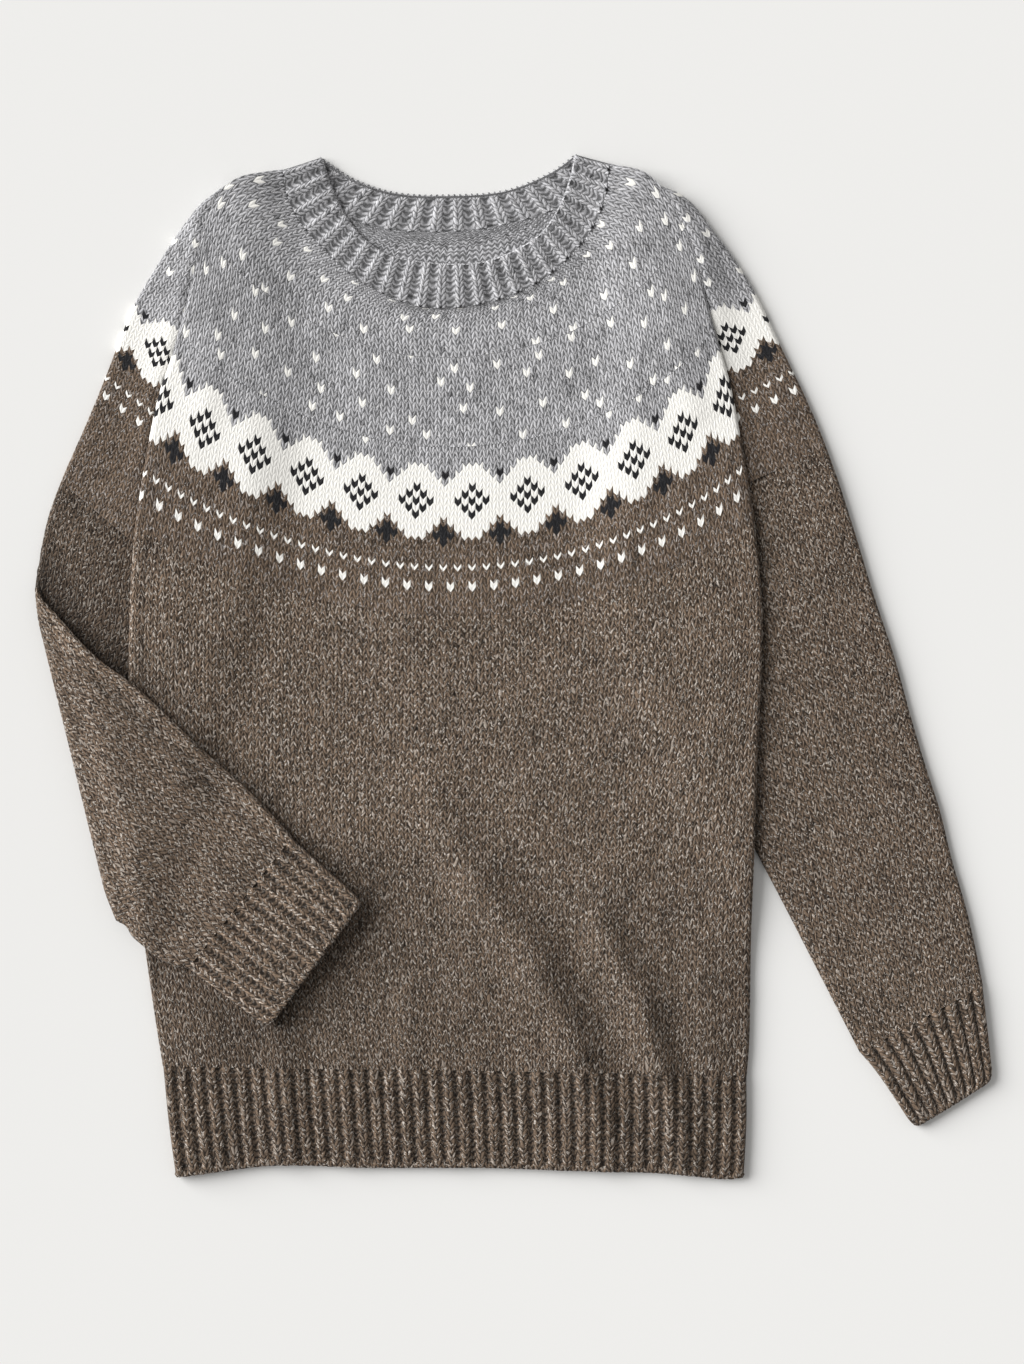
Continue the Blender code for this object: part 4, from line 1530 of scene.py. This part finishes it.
@dataclass(frozen=True)
class WoolFinish:
    """Heathered, softly spun wool, seen stitch by stitch."""

    name: str
    leg_variation: float  # how much one leg of a stitch differs from the next
    light_fleck: float  # how much a pale fibre brightens the yarn
    dark_fleck: float  # how much a dark fibre darkens it
    wobble: float  # how far a stitch strays from its place
    lean: float = 0.45  # how far a leg leans from one end to the middle
    purl_wobble: float = 0.8  # how much further a purl stitch strays
    fibre_variation: float = 2.4  # how much fibres differ in brightness
    drift: float = 0.75  # how much the yarn's brightness drifts over many stitches
    tint_share: float = 0.8  # share of light_tint in a pale fibre
    light_tint: tuple[float, float, float, float] = (0.80, 0.74, 0.67, 1.0)
    stitch_height: float = 0.45  # millimetres
    valley_shade: float = 0.16  # painted shade: brightness left between the legs
    roughness: float = 0.9
    sheen: float = 0.06
    bend_grain: tuple[float, float] = (0.9, 0.7)  # noise for each column and row: how stitches stray
    fibre_grain: tuple[float, float] = (3.4, 5.6)  # single fibres, for each leg and row
    drift_grain: tuple[float, float] = (0.16, 0.13)  # brightness over many stitches
    curl_grain: tuple[float, float] = (4.2, 3.4)  # curls of a pale fibre
    patch_grain: tuple[float, float] = (2.1, 1.8)  # where pale fibres lie
    curl_sharpness: float = 20.0
    pick: float = 0.3  # how pale single legs are
    pick_share: tuple[float, float] = (0.90, 0.96)  # random value from which a leg is pale
    dark_share: tuple[float, float] = (0.86, 0.94)  # and from which it is dark
    patch_share: tuple[float, float] = (0.53, 0.60)  # noise from which pale fibres show
    purl_loss: float = 0.6  # how much less a pale fibre shows on a purl stitch

    @staticmethod
    def grain(g: Graph, u: Wire, v: Wire, scales: tuple[float, float], sheet: float) -> Wire:
        """Place in a noise that is finer or coarser across and along the knitting."""
        return g.combine(u * scales[0], v * scales[1], sheet)

    def relief(self, g: Graph, u: Wire, v: Wire, purl: Wire) -> tuple[Wire, Wire, Wire]:
        """Shape the legs of knit stitches and the loops of purl ones.

        Args:
            g: The graph.
            u: Column of the knitting.
            v: Row of the knitting.
            purl: Share of purl.

        Returns:
            The leg's place across, its place down, and the height of the stitch from 0 to 1.
        """
        bend_u = g.noise(self.grain(g, u, v, self.bend_grain, 3.0), 1.0, 1.5) - 0.5
        bend_v = g.noise(self.grain(g, u, v, self.bend_grain, 9.0), 1.0, 1.5) - 0.5
        leg_u = u * 2.0 + bend_u * self.wobble
        leg_v = v + bend_v * (purl * self.purl_wobble + self.wobble)
        along = leg_v.frac() * 2.0 - 1.0
        side = (leg_u * 0.5).frac().between(0.49, 0.51) * 2.0 - 1.0
        across = leg_u.frac() * 2.0 - 1.0 + along * side * self.lean
        strand = (1.0 - across * across).at_least(0.0)
        ends = 1.0 - along * along
        knit = strand * (0.25 + ends * 0.75)
        wave = (u * (2 * math.pi)).cosine()
        bars = (leg_v * (2 * math.pi) + wave * 1.1).cosine() * 0.5 + 0.5
        loops = bars * (0.75 + wave * 0.25)
        return leg_u, leg_v, knit + (loops - knit) * purl

    def pale_fibres(self, g: Graph, u: Wire, v: Wire, stitch: Wire, chance: Wire) -> Wire:
        """Scatter thin pale curls, and single pale legs between them.

        Args:
            g: The graph.
            u: Column of the knitting.
            v: Row of the knitting.
            stitch: Height of the stitch, from 0 to 1.
            chance: A random value for each leg.

        Returns:
            Share of pale fibre.
        """
        curl = g.noise(self.grain(g, u, v, self.curl_grain, 1.0), 1.0, 2.0, 0.6)
        thread = (1.0 - (curl - 0.5).size() * self.curl_sharpness).between(0.0, 0.5)
        patch = g.noise(self.grain(g, u, v, self.patch_grain, 7.0), 1.0, 2.0, 0.6).between(*self.patch_share)
        pick = chance.between(*self.pick_share) * stitch.between(0.4, 0.8) * self.pick
        return 1.0 - (1.0 - thread * patch) * (1.0 - pick)

    def material(self) -> bpy.types.Material:
        """Make the material.

        Returns:
            The material, which reads the corner values yarn and stitch and the UV map knit.
        """
        g = Graph(self.name)
        uv = g.node("ShaderNodeUVMap", {"uv_map": "knit"})
        u = g.node("ShaderNodeSeparateXYZ", None, {0: uv}, out=0)
        v = g.node("ShaderNodeSeparateXYZ", None, {0: uv}, out=1)
        yarn = g.node("ShaderNodeAttribute", {"attribute_name": "yarn"}, out="Color")
        mark = g.node("ShaderNodeAttribute", {"attribute_name": "stitch"}, out="Color")
        heather = g.node("ShaderNodeSeparateColor", None, {0: mark}, out=0)
        purl = g.node("ShaderNodeSeparateColor", None, {0: mark}, out=1)
        # painted light and shade from the mesh, which scales the colour below
        tone = g.node("ShaderNodeSeparateColor", None, {0: mark}, out=2)

        leg_u, leg_v, stitch = self.relief(g, u, v, purl)
        fibre = g.noise(self.grain(g, leg_u, leg_v, self.fibre_grain, 0.0), 1.0, 3.0, 0.65)
        height = (stitch + fibre * 0.6) * (0.5 + heather * 0.5)

        cell = g.white(leg_u.floor(), leg_v.floor(), 1.0)
        chance = g.white(leg_u.floor(), leg_v.floor(), 5.0)
        drift = g.noise(self.grain(g, u, v, self.drift_grain, 5.0), 1.0, 3.0, 0.6) - 0.5
        light = self.pale_fibres(g, u, v, stitch, chance) * (1.0 - purl * self.purl_loss)
        dark = (1.0 - chance).between(*self.dark_share)
        vary = (cell - 0.5) * self.leg_variation + (fibre - 0.5) * self.fibre_variation + drift * self.drift
        bright = 1.0 + heather * vary - heather * dark * self.dark_fleck
        # Painted shade: the colour darkens where the stitch is low, between legs and rows
        depth = self.valley_shade + stitch.between(0.05, 0.75) * (1.0 - self.valley_shade)
        cavity_shade = 1.0 - (1.0 - depth) * (0.15 + heather * 0.85)
        colour = g.scale(yarn, bright * cavity_shade)
        fleck = g.mix(self.tint_share, g.scale(yarn, 1.6), self.light_tint)
        colour = g.scale(g.mix(heather * light * self.light_fleck, colour, fleck), tone)

        relief = {"Strength": 1.0, "Distance": self.stitch_height * MM, "Height": height}
        values = {
            "Base Color": colour,
            "Roughness": self.roughness,
            "Specular IOR Level": 0.2,
            "Sheen Weight": self.sheen,
            "Sheen Roughness": 0.6,
            "Normal": g.node("ShaderNodeBump", None, relief),
        }
        return g.shade(g.node("ShaderNodeBsdfPrincipled", None, values))


@dataclass(frozen=True)
class FloorFinish:
    """Matt white board under the garment."""

    colour: tuple[float, float, float] = (0.83, 0.825, 0.81)
    mottle: float = 0.02

    def material(self) -> bpy.types.Material:
        """Make the material.

        Returns:
            The material.
        """
        g = Graph("matt_board")
        place = g.node("ShaderNodeTexCoord", out="Object")
        mottle = g.noise(place, 2.0, 2.0) * self.mottle + (1 - self.mottle / 2)
        colour = g.scale(self.colour, mottle)
        values = {"Base Color": colour, "Roughness": 0.95, "Specular IOR Level": 0.1}
        return g.shade(g.node("ShaderNodeBsdfPrincipled", None, values))


@dataclass(frozen=True)
class Declared:
    """What is known of a piece: its slot, its cut and what it lies on."""

    slot: str
    width: float
    length: float
    held: str
    area: Optional[float] = None
    rests_on: tuple[str, ...] = ()


def settle(piece: bpy.types.Object, node: str, facts: Declared) -> None:
    """Put a piece in the frame.

    Args:
        piece: The finished piece.
        node: The solid that it stands for.
        facts: What is known of it; its width and area are read and then dropped.
    """
    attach(piece, "root")
    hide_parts(node)
    facts.width * MM
    None if facts.area is None else facts.area * MM * MM
    corner_low, corner_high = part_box(node)
    size = [round((b - a) / MM) for a, b in zip(corner_low, corner_high)]
    LOG.info("%s: %d faces over a solid of %s mm", piece.name, len(piece.data.polygons), size)


LIP_HEIGHT = 0.7
LIP_WIDTH = 1.8


def neck_lip(end: float) -> Callable[[Array, Array], Array]:
    """Relief of a piece whose last few millimetres rise into a lip.

    Args:
        end: Where the lip is, down the cloth in millimetres.

    Returns:
        The relief over the piece.
    """
    return lambda share, down: LIP_HEIGHT * np.exp(-(((down - end) / LIP_WIDTH) ** 2))


@dataclass
class Torso:
    """Front and back layers between the neck opening and the ribbed hem."""

    grey: bpy.types.Material
    brown: bpy.types.Material
    coarse: float = 14.0  # row height of a face that is out of sight
    inset: float = 1.5  # how far inside a free edge the inner face starts
    lip_inset: float = 1.0  # from the front neckband's seam to its lip
    back_cord: float = 0.2  # bound-off edge of the back neckband where it is out of sight
    back_thinner: float = 0.2  # how much thinner the back neckband is, to make room for its ribs

    def neckband(self) -> None:
        """Knit the ribbed neckband; its back shows its inside through the opening."""
        left = (NECK_OPENING_FRONT[0], NECK_SEAM_FRONT[0])
        right = (NECK_OPENING_FRONT[-1], NECK_SEAM_FRONT[-1])
        plan = PlanPatch(NECK_OPENING_FRONT, NECK_SEAM_FRONT, left, right)
        layer = Layer(plan, front_level, torso_middle, 1.0, free_start=True)
        rib = rib_fabric(0.75, 0.5, 0.8, (1.12, 0.9))
        chart = plain_chart(GREY)
        cloth = ClothMesh()
        lip = neck_lip(layer.length - self.lip_inset)
        outer = Face(layer, rib, NECK_RIBS, chart, cord=CORD, relief=lip).knit(cloth)
        start = layer.roll + self.inset
        inner = Face(layer, PURL_SIDE, NECK_RIBS * 2, chart, outside=False, row=self.coarse / 2, first=start)
        close_panel(cloth, [outer], [inner.knit(cloth)], GREY)
        front = cloth.build("knit_neckband_front", self.grey)
        facts = Declared("grey_wool", 300, 29, "laid", rests_on=("knit_neckband_back",))
        settle(front, "neckband_front", facts)
        plan = PlanPatch(NECK_OPENING_BACK, NECK_SEAM_BACK, left, right)
        layer = Layer(plan, back_level, torso_middle, -1.0, free_start=True)
        cloth = ClothMesh()
        outer = Face(layer, FLAT_KNIT, NECK_RIBS_BACK * 3, chart, row=ROW, cord=self.back_cord).knit(cloth)
        start = layer.roll + self.inset
        thin = WALL - self.back_thinner
        inner = Face(layer, rib, NECK_RIBS_BACK, chart, outside=False, first=start, thickness=thin, cord=CORD)
        close_panel(cloth, [outer], [inner.knit(cloth)], GREY)
        back = cloth.build("knit_neckband_back", self.grey)
        settle(back, "neckband_back", Declared("grey_wool", 225, 29, "laid", rests_on=("yoke_back",)))

    def yoke(self) -> None:
        """Knit the patterned round yoke."""
        plan = PlanPatch(NECK_SEAM_FRONT, YOKE_EDGE, YOKE_CREASE_LEFT, YOKE_CREASE_RIGHT)
        layer = Layer(plan, front_level, torso_middle, 1.0)
        self.zoned(layer, PLAIN_KNIT, Half.FRONT, self.coarse, ("knit_yoke_back",))
        plan = PlanPatch(NECK_SEAM_BACK, YOKE_EDGE, YOKE_CREASE_LEFT, YOKE_CREASE_RIGHT)
        layer = Layer(plan, back_level, torso_middle, -1.0)
        self.zoned(layer, FLAT_KNIT, Half.BACK, ROW, ("knit_yoke_side_left", "knit_yoke_side_right"))

    def zoned(self, layer: Layer, fabric: Fabric, half: Half, row: float, under: tuple[str, ...]) -> None:
        """Knit one half of the yoke, in zones with fewer columns towards the neck.

        Args:
            layer: The layer of cloth.
            fabric: Layout of the outer face.
            half: Which half it is.
            row: Row height of the inner face.
            under: Pieces that it lies on.
        """
        cloth = ClothMesh()
        rows = round(layer.length / HALF_ROW)
        outer = []
        for columns, low, high in YOKE_ZONES:
            first = round(low * rows) * HALF_ROW + (YOKE_ZONE_GAP if low else 0.0)
            last = round(high * rows) * HALF_ROW if high < 1 else layer.length
            below = rows - round(high * rows)
            chart = NordicChart(YOKE_SEEDS[half] + columns, 0, -below)
            outer.append(Face(layer, fabric, columns, chart, first=first, last=last).knit(cloth))
        for above, below in zip(outer, outer[1:]):
            flip = -layer.plan.handedness() * layer.up < 0
            cloth.sew_strip(above.last, below.first, GREY, (0.0, 1.0), flip)
        count = YOKE_INSIDE_COLUMNS[half]
        inner = Face(layer, PURL_SIDE, count, plain_chart(GREY), outside=False, row=row).knit(cloth)
        close_panel(cloth, outer, [inner], GREY)
        name = "yoke_" + half.value
        facts = Declared("grey_wool", 460, 240, "laid", 460 * 240 * 0.82, under)
        settle(cloth.build("knit_" + name, self.grey), name, facts)

    def body(self) -> None:
        """Knit the plain body."""
        plan = PlanPatch(YOKE_EDGE, HEM_TOP, BODY_SIDE_LEFT, BODY_SIDE_RIGHT)
        chart = plain_chart(BROWN)
        halves = (
            (Half.FRONT, front_level, 1.0, PLAIN_KNIT, body_shade, ("knit_body_back",)),
            (Half.BACK, back_level, -1.0, FLAT_KNIT, None, ("knit_sleeve_left", "knit_sleeve_right")),
        )
        for half, level, up, fabric, shade, under in halves:
            layer = Layer(plan, level, torso_middle, up, shade=shade)
            cloth = ClothMesh()
            outer = Face(layer, fabric, BODY_COLUMNS, chart).knit(cloth)
            inner = Face(layer, PURL_SIDE, BODY_INSIDE_COLUMNS, chart, outside=False, row=self.coarse)
            close_panel(cloth, [outer], [inner.knit(cloth)], BROWN)
            piece = cloth.build("knit_body_" + half.value, self.brown)
            settle(piece, "body_" + half.value, Declared("brown_wool", 445, 335, "laid", None, under))

    def hem(self) -> None:
        """Knit the ribbed hem."""
        plan = PlanPatch(HEM_TOP, HEM_EDGE, HEM_SIDE_LEFT, HEM_SIDE_RIGHT)
        chart = plain_chart(BROWN)
        rib = rib_fabric(0.95, 0.38, 0.78, (1.10, 1.0))
        halves = (
            (Half.FRONT, front_level, 1.0, rib, HEM_RIBS, CORD, lower_shade, ("knit_hem_back",)),
            (Half.BACK, back_level, -1.0, FLAT_KNIT, HEM_BACK_COLUMNS, 0.0, None, ()),
        )
        for half, level, up, fabric, repeats, cord, shade, under in halves:
            layer = Layer(plan, level, torso_middle, up, free_end=True, shade=shade)
            cloth = ClothMesh()
            outer = Face(layer, fabric, repeats, chart, cord=cord).knit(cloth)
            last = layer.length - layer.roll - self.inset
            row = self.coarse / 2
            inner = Face(layer, PURL_SIDE, HEM_INSIDE_COLUMNS, chart, outside=False, row=row, last=last)
            close_panel(cloth, [outer], [inner.knit(cloth)], BROWN)
            piece = cloth.build("knit_hem_" + half.value, self.brown)
            settle(piece, "hem_rib_" + half.value, Declared("brown_wool", 405, 72, "laid", None, under))


def section_curves(sections: Array) -> tuple[Curve, Curve, Curve, Curve]:
    """Turn sections into the four plan curves of a flattened tube.

    Args:
        sections: Outer and inner edge, one row for each section.

    Returns:
        The first section, the last one, the outer edge and the inner edge.
    """
    outer = [tuple(row[:2]) for row in sections]
    inner = [tuple(row[2:]) for row in sections]
    return (outer[0], inner[0]), (outer[-1], inner[-1]), tuple(outer), tuple(inner)


def straightened() -> Array:
    """Lay the left sleeve below its yoke out straight, as it is before the elbow is folded.

    Returns:
        Its sections, as outer and inner edge in one row each.
    """
    start, along, outward = elbow_frame()
    upper = spline(SLEEVE_LEFT, np.linspace(YOKE_SHARE_LEFT, 1.0, UPPER_ARM_SECTIONS))
    rows = [upper[:-2]]
    crease = (start, start + along * (ELBOW_SPAN - ELBOW_SHORT))
    leaving = tuple(start + along * reach + outward * FOLD_LENGTH for reach in (ELBOW_SLIP, ELBOW_SPAN))
    rows += [np.concatenate(ends)[None] for ends in (crease, leaving)]
    for section in FOREARM_LEFT[2:]:
        points = np.array(section, dtype=float).reshape(2, 2)
        off = points - start
        past = FOLD_LENGTH - off @ outward
        rows.append((start + np.outer(off @ along, along) + np.outer(past, outward)).reshape(1, 4))
    return np.vstack(rows)


@dataclass
class Sleeve:
    """One sleeve: the stretch that belongs to the yoke, the plain tube and the ribbed cuff."""

    side: Side
    grey: bpy.types.Material
    brown: bpy.types.Material
    coarse: float = 12.0  # row height of the inner face
    inset: float = 1.5  # how far inside a free edge the inner face starts
    meet: float = 2.3  # how far the yoke's side rises to meet the yoke's crease
    meet_reach: float = 15.0
    flush: float = 6.0  # how far it rises where the crease has run into the shoulder
    flush_reach: float = 16.0
    flush_edge: tuple[float, float] = (-2.2, 0.8)  # off the crease, where that rise starts, and its length
    crown: float = 1.2  # how much further it rises, high on the shoulder and a little off the crease
    crown_reach: float = 17.0
    crown_up: tuple[float, float] = (190.0, 60.0)
    crown_off: tuple[float, float] = (0.0, 6.0)
    tuck: float = 12.0  # how far the yoke's side reaches on under the yoke
    draw_in: float = 0.22  # share by which its outer edge is drawn in there

    def layers(
        self,
        sections: Array,
        creased: HeightField,
        bend: Optional[Bend] = None,
        free: bool = False,
        shade: Optional[Shade] = None,
    ) -> tuple[Layer, Layer]:
        """Upper and lower layer of a flattened tube.

        Args:
            sections: The tube's sections.
            creased: Height that creases add to the upper layer.
            bend: How the tube is folded or laid.
            free: Whether the tube's end is a free edge.
            shade: Painted shade and highlight on the wool over the tube.

        Returns:
            The layer that faces up before the tube is bent, and the one that faces down.
        """
        plan = PlanPatch(*section_curves(sections))
        half = TUBE_HEIGHT / 2

        def high(x: Array, y: Array) -> Array:
            """Height of the upper face."""
            return TUBE_HEIGHT + creased(x, y)

        def low(x: Array, y: Array) -> Array:
            """Height of the lower face."""
            return np.zeros_like(x)

        def middle(x: Array, y: Array) -> Array:
            """Height of the side creases."""
            return np.full_like(x, half)

        return tuple(
            Layer(plan, level, middle, up, half, free_end=free, bend=bend, shade=shade)
            for level, up in ((high, 1.0), (low, -1.0))
        )

    def tube(
        self,
        name: str,
        node: str,
        layers: tuple[Layer, Layer],
        fabrics: tuple[Fabric, Fabric],
        chart: Chart,
        yarn: int,
        facts: Declared,
        repeats: int = 0,
    ) -> None:
        """Knit a tube that is open at both ends.

        Args:
            name: The piece's name.
            node: The solid that it stands for.
            layers: Upper and lower layer.
            fabrics: Layout of the upper and the lower layer's outer face.
            chart: Colour chart.
            yarn: Yarn of the inside.
            facts: What is known of the piece.
            repeats: Repeats across, or 0 for columns that run beside the outer edge.
        """
        cloth = ClothMesh()
        for layer, fabric in zip(layers, fabrics):
            cord = CORD if layer.free_end and fabric.columns > 1 and max(fabric.rise) > 0 else 0.0
            outer = Face(layer, fabric, repeats, chart, cord=cord).knit(cloth)
            last = layer.length - (layer.roll + self.inset if layer.free_end else 0.0)
            inner = Face(
                layer, PURL_SIDE, TUBE_INSIDE_COLUMNS, plain_chart(yarn), False, row=self.coarse, last=last
            ).knit(cloth)
            close_rim(cloth, outer.first, inner.first, yarn)
            close_rim(cloth, outer.last, inner.last, yarn)
        settle(cloth.build(name, self.grey if yarn == GREY else self.brown), node, facts)

    def yoke_side(self) -> None:
        """Knit the stretch of the yoke that lies beside the body."""
        left = self.side is Side.LEFT
        table = SLEEVE_LEFT if left else SLEEVE_RIGHT
        share = YOKE_SHARE_LEFT if left else YOKE_SHARE_RIGHT
        sections = spline(table, np.linspace(0.0, share, 17))
        step = sections[0] - sections[1]
        tucked = sections[0] + self.tuck * step / np.linalg.norm(step[:2])
        tucked[:2] += self.draw_in * (tucked[2:] - tucked[:2])
        shade = shoulder_left_shade if left else shoulder_right_shade
        layers = self.layers(np.vstack([tucked[None], sections]), self.shoulder, shade=shade)
        chart = NordicChart(SIDE_SEEDS[self.side], SIDE_SHIFT, SIDE_HALF_ROWS_BELOW[self.side])
        facts = Declared("grey_wool", 300, 250, "laid", 300 * 250 * 0.62)
        name = "yoke_side_" + self.side.value
        self.tube("knit_" + name, name, layers, (PLAIN_KNIT, FLAT_KNIT), chart, GREY, facts)

    def shoulder(self, x: Array, y: Array) -> Array:
        """Height of the shoulder, which rises towards the yoke's crease near the neck.

        Args:
            x: Places across, in millimetres.
            y: Places towards the neck, in millimetres.

        Returns:
            Height that is added to the flat tube at each place.
        """
        if self.side is Side.LEFT:
            off = curve_x(YOKE_CREASE_LEFT, y) - x
            folds = SLEEVE_CREASES_LEFT
        else:
            off = x - curve_x(YOKE_CREASE_RIGHT, y)
            folds = SLEEVE_CREASES_RIGHT
        under = 1 - np.sin(np.arccos(1 - np.clip(-off / CREASE_RADIUS, 0.0, 1.0)))
        beside = self.meet * np.where(off > 0, np.exp(-((off / self.meet_reach) ** 2)), under)
        below = ramp(off, *self.flush_edge)
        flush = self.flush * np.where(off > 0, np.exp(-((off / self.flush_reach) ** 2)), below)
        rise = beside + (flush - beside) * shoulder_share(x, y)
        high = self.crown * ramp(y, *self.crown_up) * ramp(off, *self.crown_off)
        high = high * np.exp(-((off / self.crown_reach) ** 2))
        return rise + high + creases(folds, x, y) * ramp(off, *CREASES_CLEAR)

    def sleeve(self) -> None:
        """Knit the plain part of the sleeve."""
        chart = plain_chart(BROWN)
        if self.side is Side.LEFT:
            layers = self.layers(straightened(), self.creases_left, bend=round_elbow, shade=sleeve_left_shade)
            facts = Declared("brown_wool", 250, 395, "folded", rests_on=("knit_body_front",))
            fabrics = (PLAIN_KNIT, PLAIN_KNIT)
        else:
            sections = spline(SLEEVE_RIGHT, np.linspace(YOKE_SHARE_RIGHT, 1.0, 25))
            layers = self.layers(sections, self.creases_right, shade=sleeve_right_shade)
            facts = Declared("brown_wool", 270, 395, "laid")
            fabrics = (PLAIN_KNIT, FLAT_KNIT)
        name = "sleeve_" + self.side.value
        self.tube("knit_" + name, name, layers, fabrics, chart, BROWN, facts)

    def creases_left(self, x: Array, y: Array) -> Array:
        """Creases of the left upper arm, where neither body nor forearm lies on it.

        Args:
            x: Places across, in millimetres.
            y: Places towards the neck, in millimetres.

        Returns:
            Their height at each place.
        """
        start, _, outward = elbow_frame()
        past = (x - start[0]) * outward[0] + (y - start[1]) * outward[1]
        side = curve_x(BODY_SIDE_LEFT, y)
        clear = ramp(side - x, *CREASES_CLEAR) * ramp(-past, *CREASES_CLEAR_FOLD)
        return creases(SLEEVE_CREASES_LEFT, x, y) * clear

    def creases_right(self, x: Array, y: Array) -> Array:
        """Creases of the right sleeve, clear of the body."""
        side = curve_x(BODY_SIDE_RIGHT, y)
        return creases(SLEEVE_CREASES_RIGHT, x, y) * ramp(x - side, *CREASES_CLEAR)

    def cuff(self) -> None:
        """Knit the ribbed cuff."""
        name = "cuff_" + self.side.value
        if self.side is Side.LEFT:
            sections = pinched(spline(CUFF_LEFT, np.linspace(0.0, 1.0, 17)))
            layers = self.layers(sections, no_creases, bend=over_body, free=True)
            facts = Declared("brown_wool", 240, 64, "laid", rests_on=("knit_body_front",))
            rib = rib_fabric(0.85, 0.46, 0.84, (1.4, 0.92))
            fabrics = (rib, rib)
            ribs = CUFF_RIBS_LEFT
        else:
            sections = pinched(spline(CUFF_RIGHT, np.linspace(0.0, 1.0, 17)))
            layers = self.layers(sections, no_creases, free=True)
            facts = Declared("brown_wool", 180, 64, "laid")
            rib = rib_fabric(0.85, 0.24, 0.5, (0.97, 0.94))
            fabrics = (rib, underside(rib))
            ribs = CUFF_RIBS_RIGHT
        self.tube("knit_" + name, name, layers, fabrics, plain_chart(BROWN), BROWN, facts, ribs)


def pinched(sections: Array, amounts: tuple[float, ...] = (0.6, 2.8)) -> Array:
    """Draw the last sections of a tube together, so that its end has rounded corners.

    Args:
        sections: Outer and inner edge, one row for each section, which are changed in place.
        amounts: How far each of the last sections is drawn in at both sides, in millimetres.

    Returns:
        The sections.
    """
    for row, amount in zip(sections[-len(amounts) :], amounts):
        across = (row[2:] - row[:2]) / np.linalg.norm(row[2:] - row[:2])
        row[:2] += amount * across
        row[2:] -= amount * across
    return sections


def underside(rib: Fabric) -> Fabric:
    """Rib whose raised columns are flat, for cloth that rests on the surface."""
    sunk = tuple(min(value, 0.0) for value in rib.rise)
    return Fabric(rib.columns, rib.u, rib.spot, rib.slant, sunk, rib.purl, rib.tone)


def no_creases(x: Array, y: Array) -> Array:
    """A layer without creases."""
    return np.zeros_like(x)


@dataclass
class Studio:
    """Pale floor, soft light from the upper left and a camera that looks straight down."""

    view_height: float = 954.8  # millimetres
    centre: tuple[float, float] = (1.0, -11.0)
    lens: float = 85.0
    sensor: float = 36.0
    floor_half: float = 6.0  # metres
    floor_drop: float = 0.0002  # metres
    key_energy: float = 4.35
    key_angle: float = 50.0  # degrees
    key_from: tuple[float, float, float] = (-0.88, 0.36, 0.52)
    fill_colour: tuple[float, float, float, float] = (1.0, 0.995, 0.985, 1.0)
    fill_strength: float = 0.37

    def floor(self) -> None:
        """Lay the floor."""
        mesh = bpy.data.meshes.new("floor")
        half = self.floor_half
        corners = [(-half, -half, 0.0), (half, -half, 0.0), (half, half, 0.0), (-half, half, 0.0)]
        mesh.from_pydata(corners, [], [(0, 1, 2, 3)])
        mesh.materials.append(FloorFinish().material())
        floor = bpy.data.objects.new("floor", mesh)
        floor.location.z = -self.floor_drop
        bpy.context.scene.collection.objects.link(floor)

    def camera(self) -> None:
        """Hang the camera over the garment."""
        data = bpy.data.cameras.new("camera")
        data.lens = self.lens
        data.sensor_fit = "AUTO"
        data.sensor_width = self.sensor
        camera = bpy.data.objects.new("camera", data)
        distance = self.view_height * self.lens / self.sensor
        camera.location = Vector((self.centre[0], self.centre[1], distance)) * MM
        bpy.context.scene.collection.objects.link(camera)
        bpy.context.scene.camera = camera

    def lights(self) -> None:
        """Set a broad key light from the upper left and an even fill."""
        key = bpy.data.lights.new("key", "SUN")
        key.energy = self.key_energy
        key.angle = math.radians(self.key_angle)
        lamp = bpy.data.objects.new("key", key)
        lamp.rotation_euler = Vector(self.key_from).to_track_quat("Z", "Y").to_euler()
        bpy.context.scene.collection.objects.link(lamp)
        world = bpy.data.worlds.new("studio")
        world.use_nodes = True
        back = world.node_tree.nodes["Background"]
        back.inputs["Color"].default_value = self.fill_colour
        back.inputs["Strength"].default_value = self.fill_strength
        bpy.context.scene.world = world
        bpy.context.scene.view_settings.view_transform = "Standard"


def main() -> None:
    """Build every piece of the sweater and the studio around it."""
    logging.basicConfig(level=logging.INFO, format="%(message)s")
    pale = (0.84, 0.82, 0.81, 1.0)
    grey = WoolFinish("grey_wool", 0.45, 0.60, 0.30, 0.9, light_tint=pale, valley_shade=0.28).material()
    brown = WoolFinish("brown_wool", 0.42, 1.0, 0.36, 1.5).material()
    torso = Torso(grey, brown)
    torso.neckband()
    torso.yoke()
    torso.body()
    torso.hem()
    for side in Side:
        sleeve = Sleeve(side, grey, brown)
        sleeve.yoke_side()
        sleeve.sleeve()
        sleeve.cuff()
    studio = Studio()
    studio.floor()
    studio.camera()
    studio.lights()


if __name__ == "__main__":
    main()
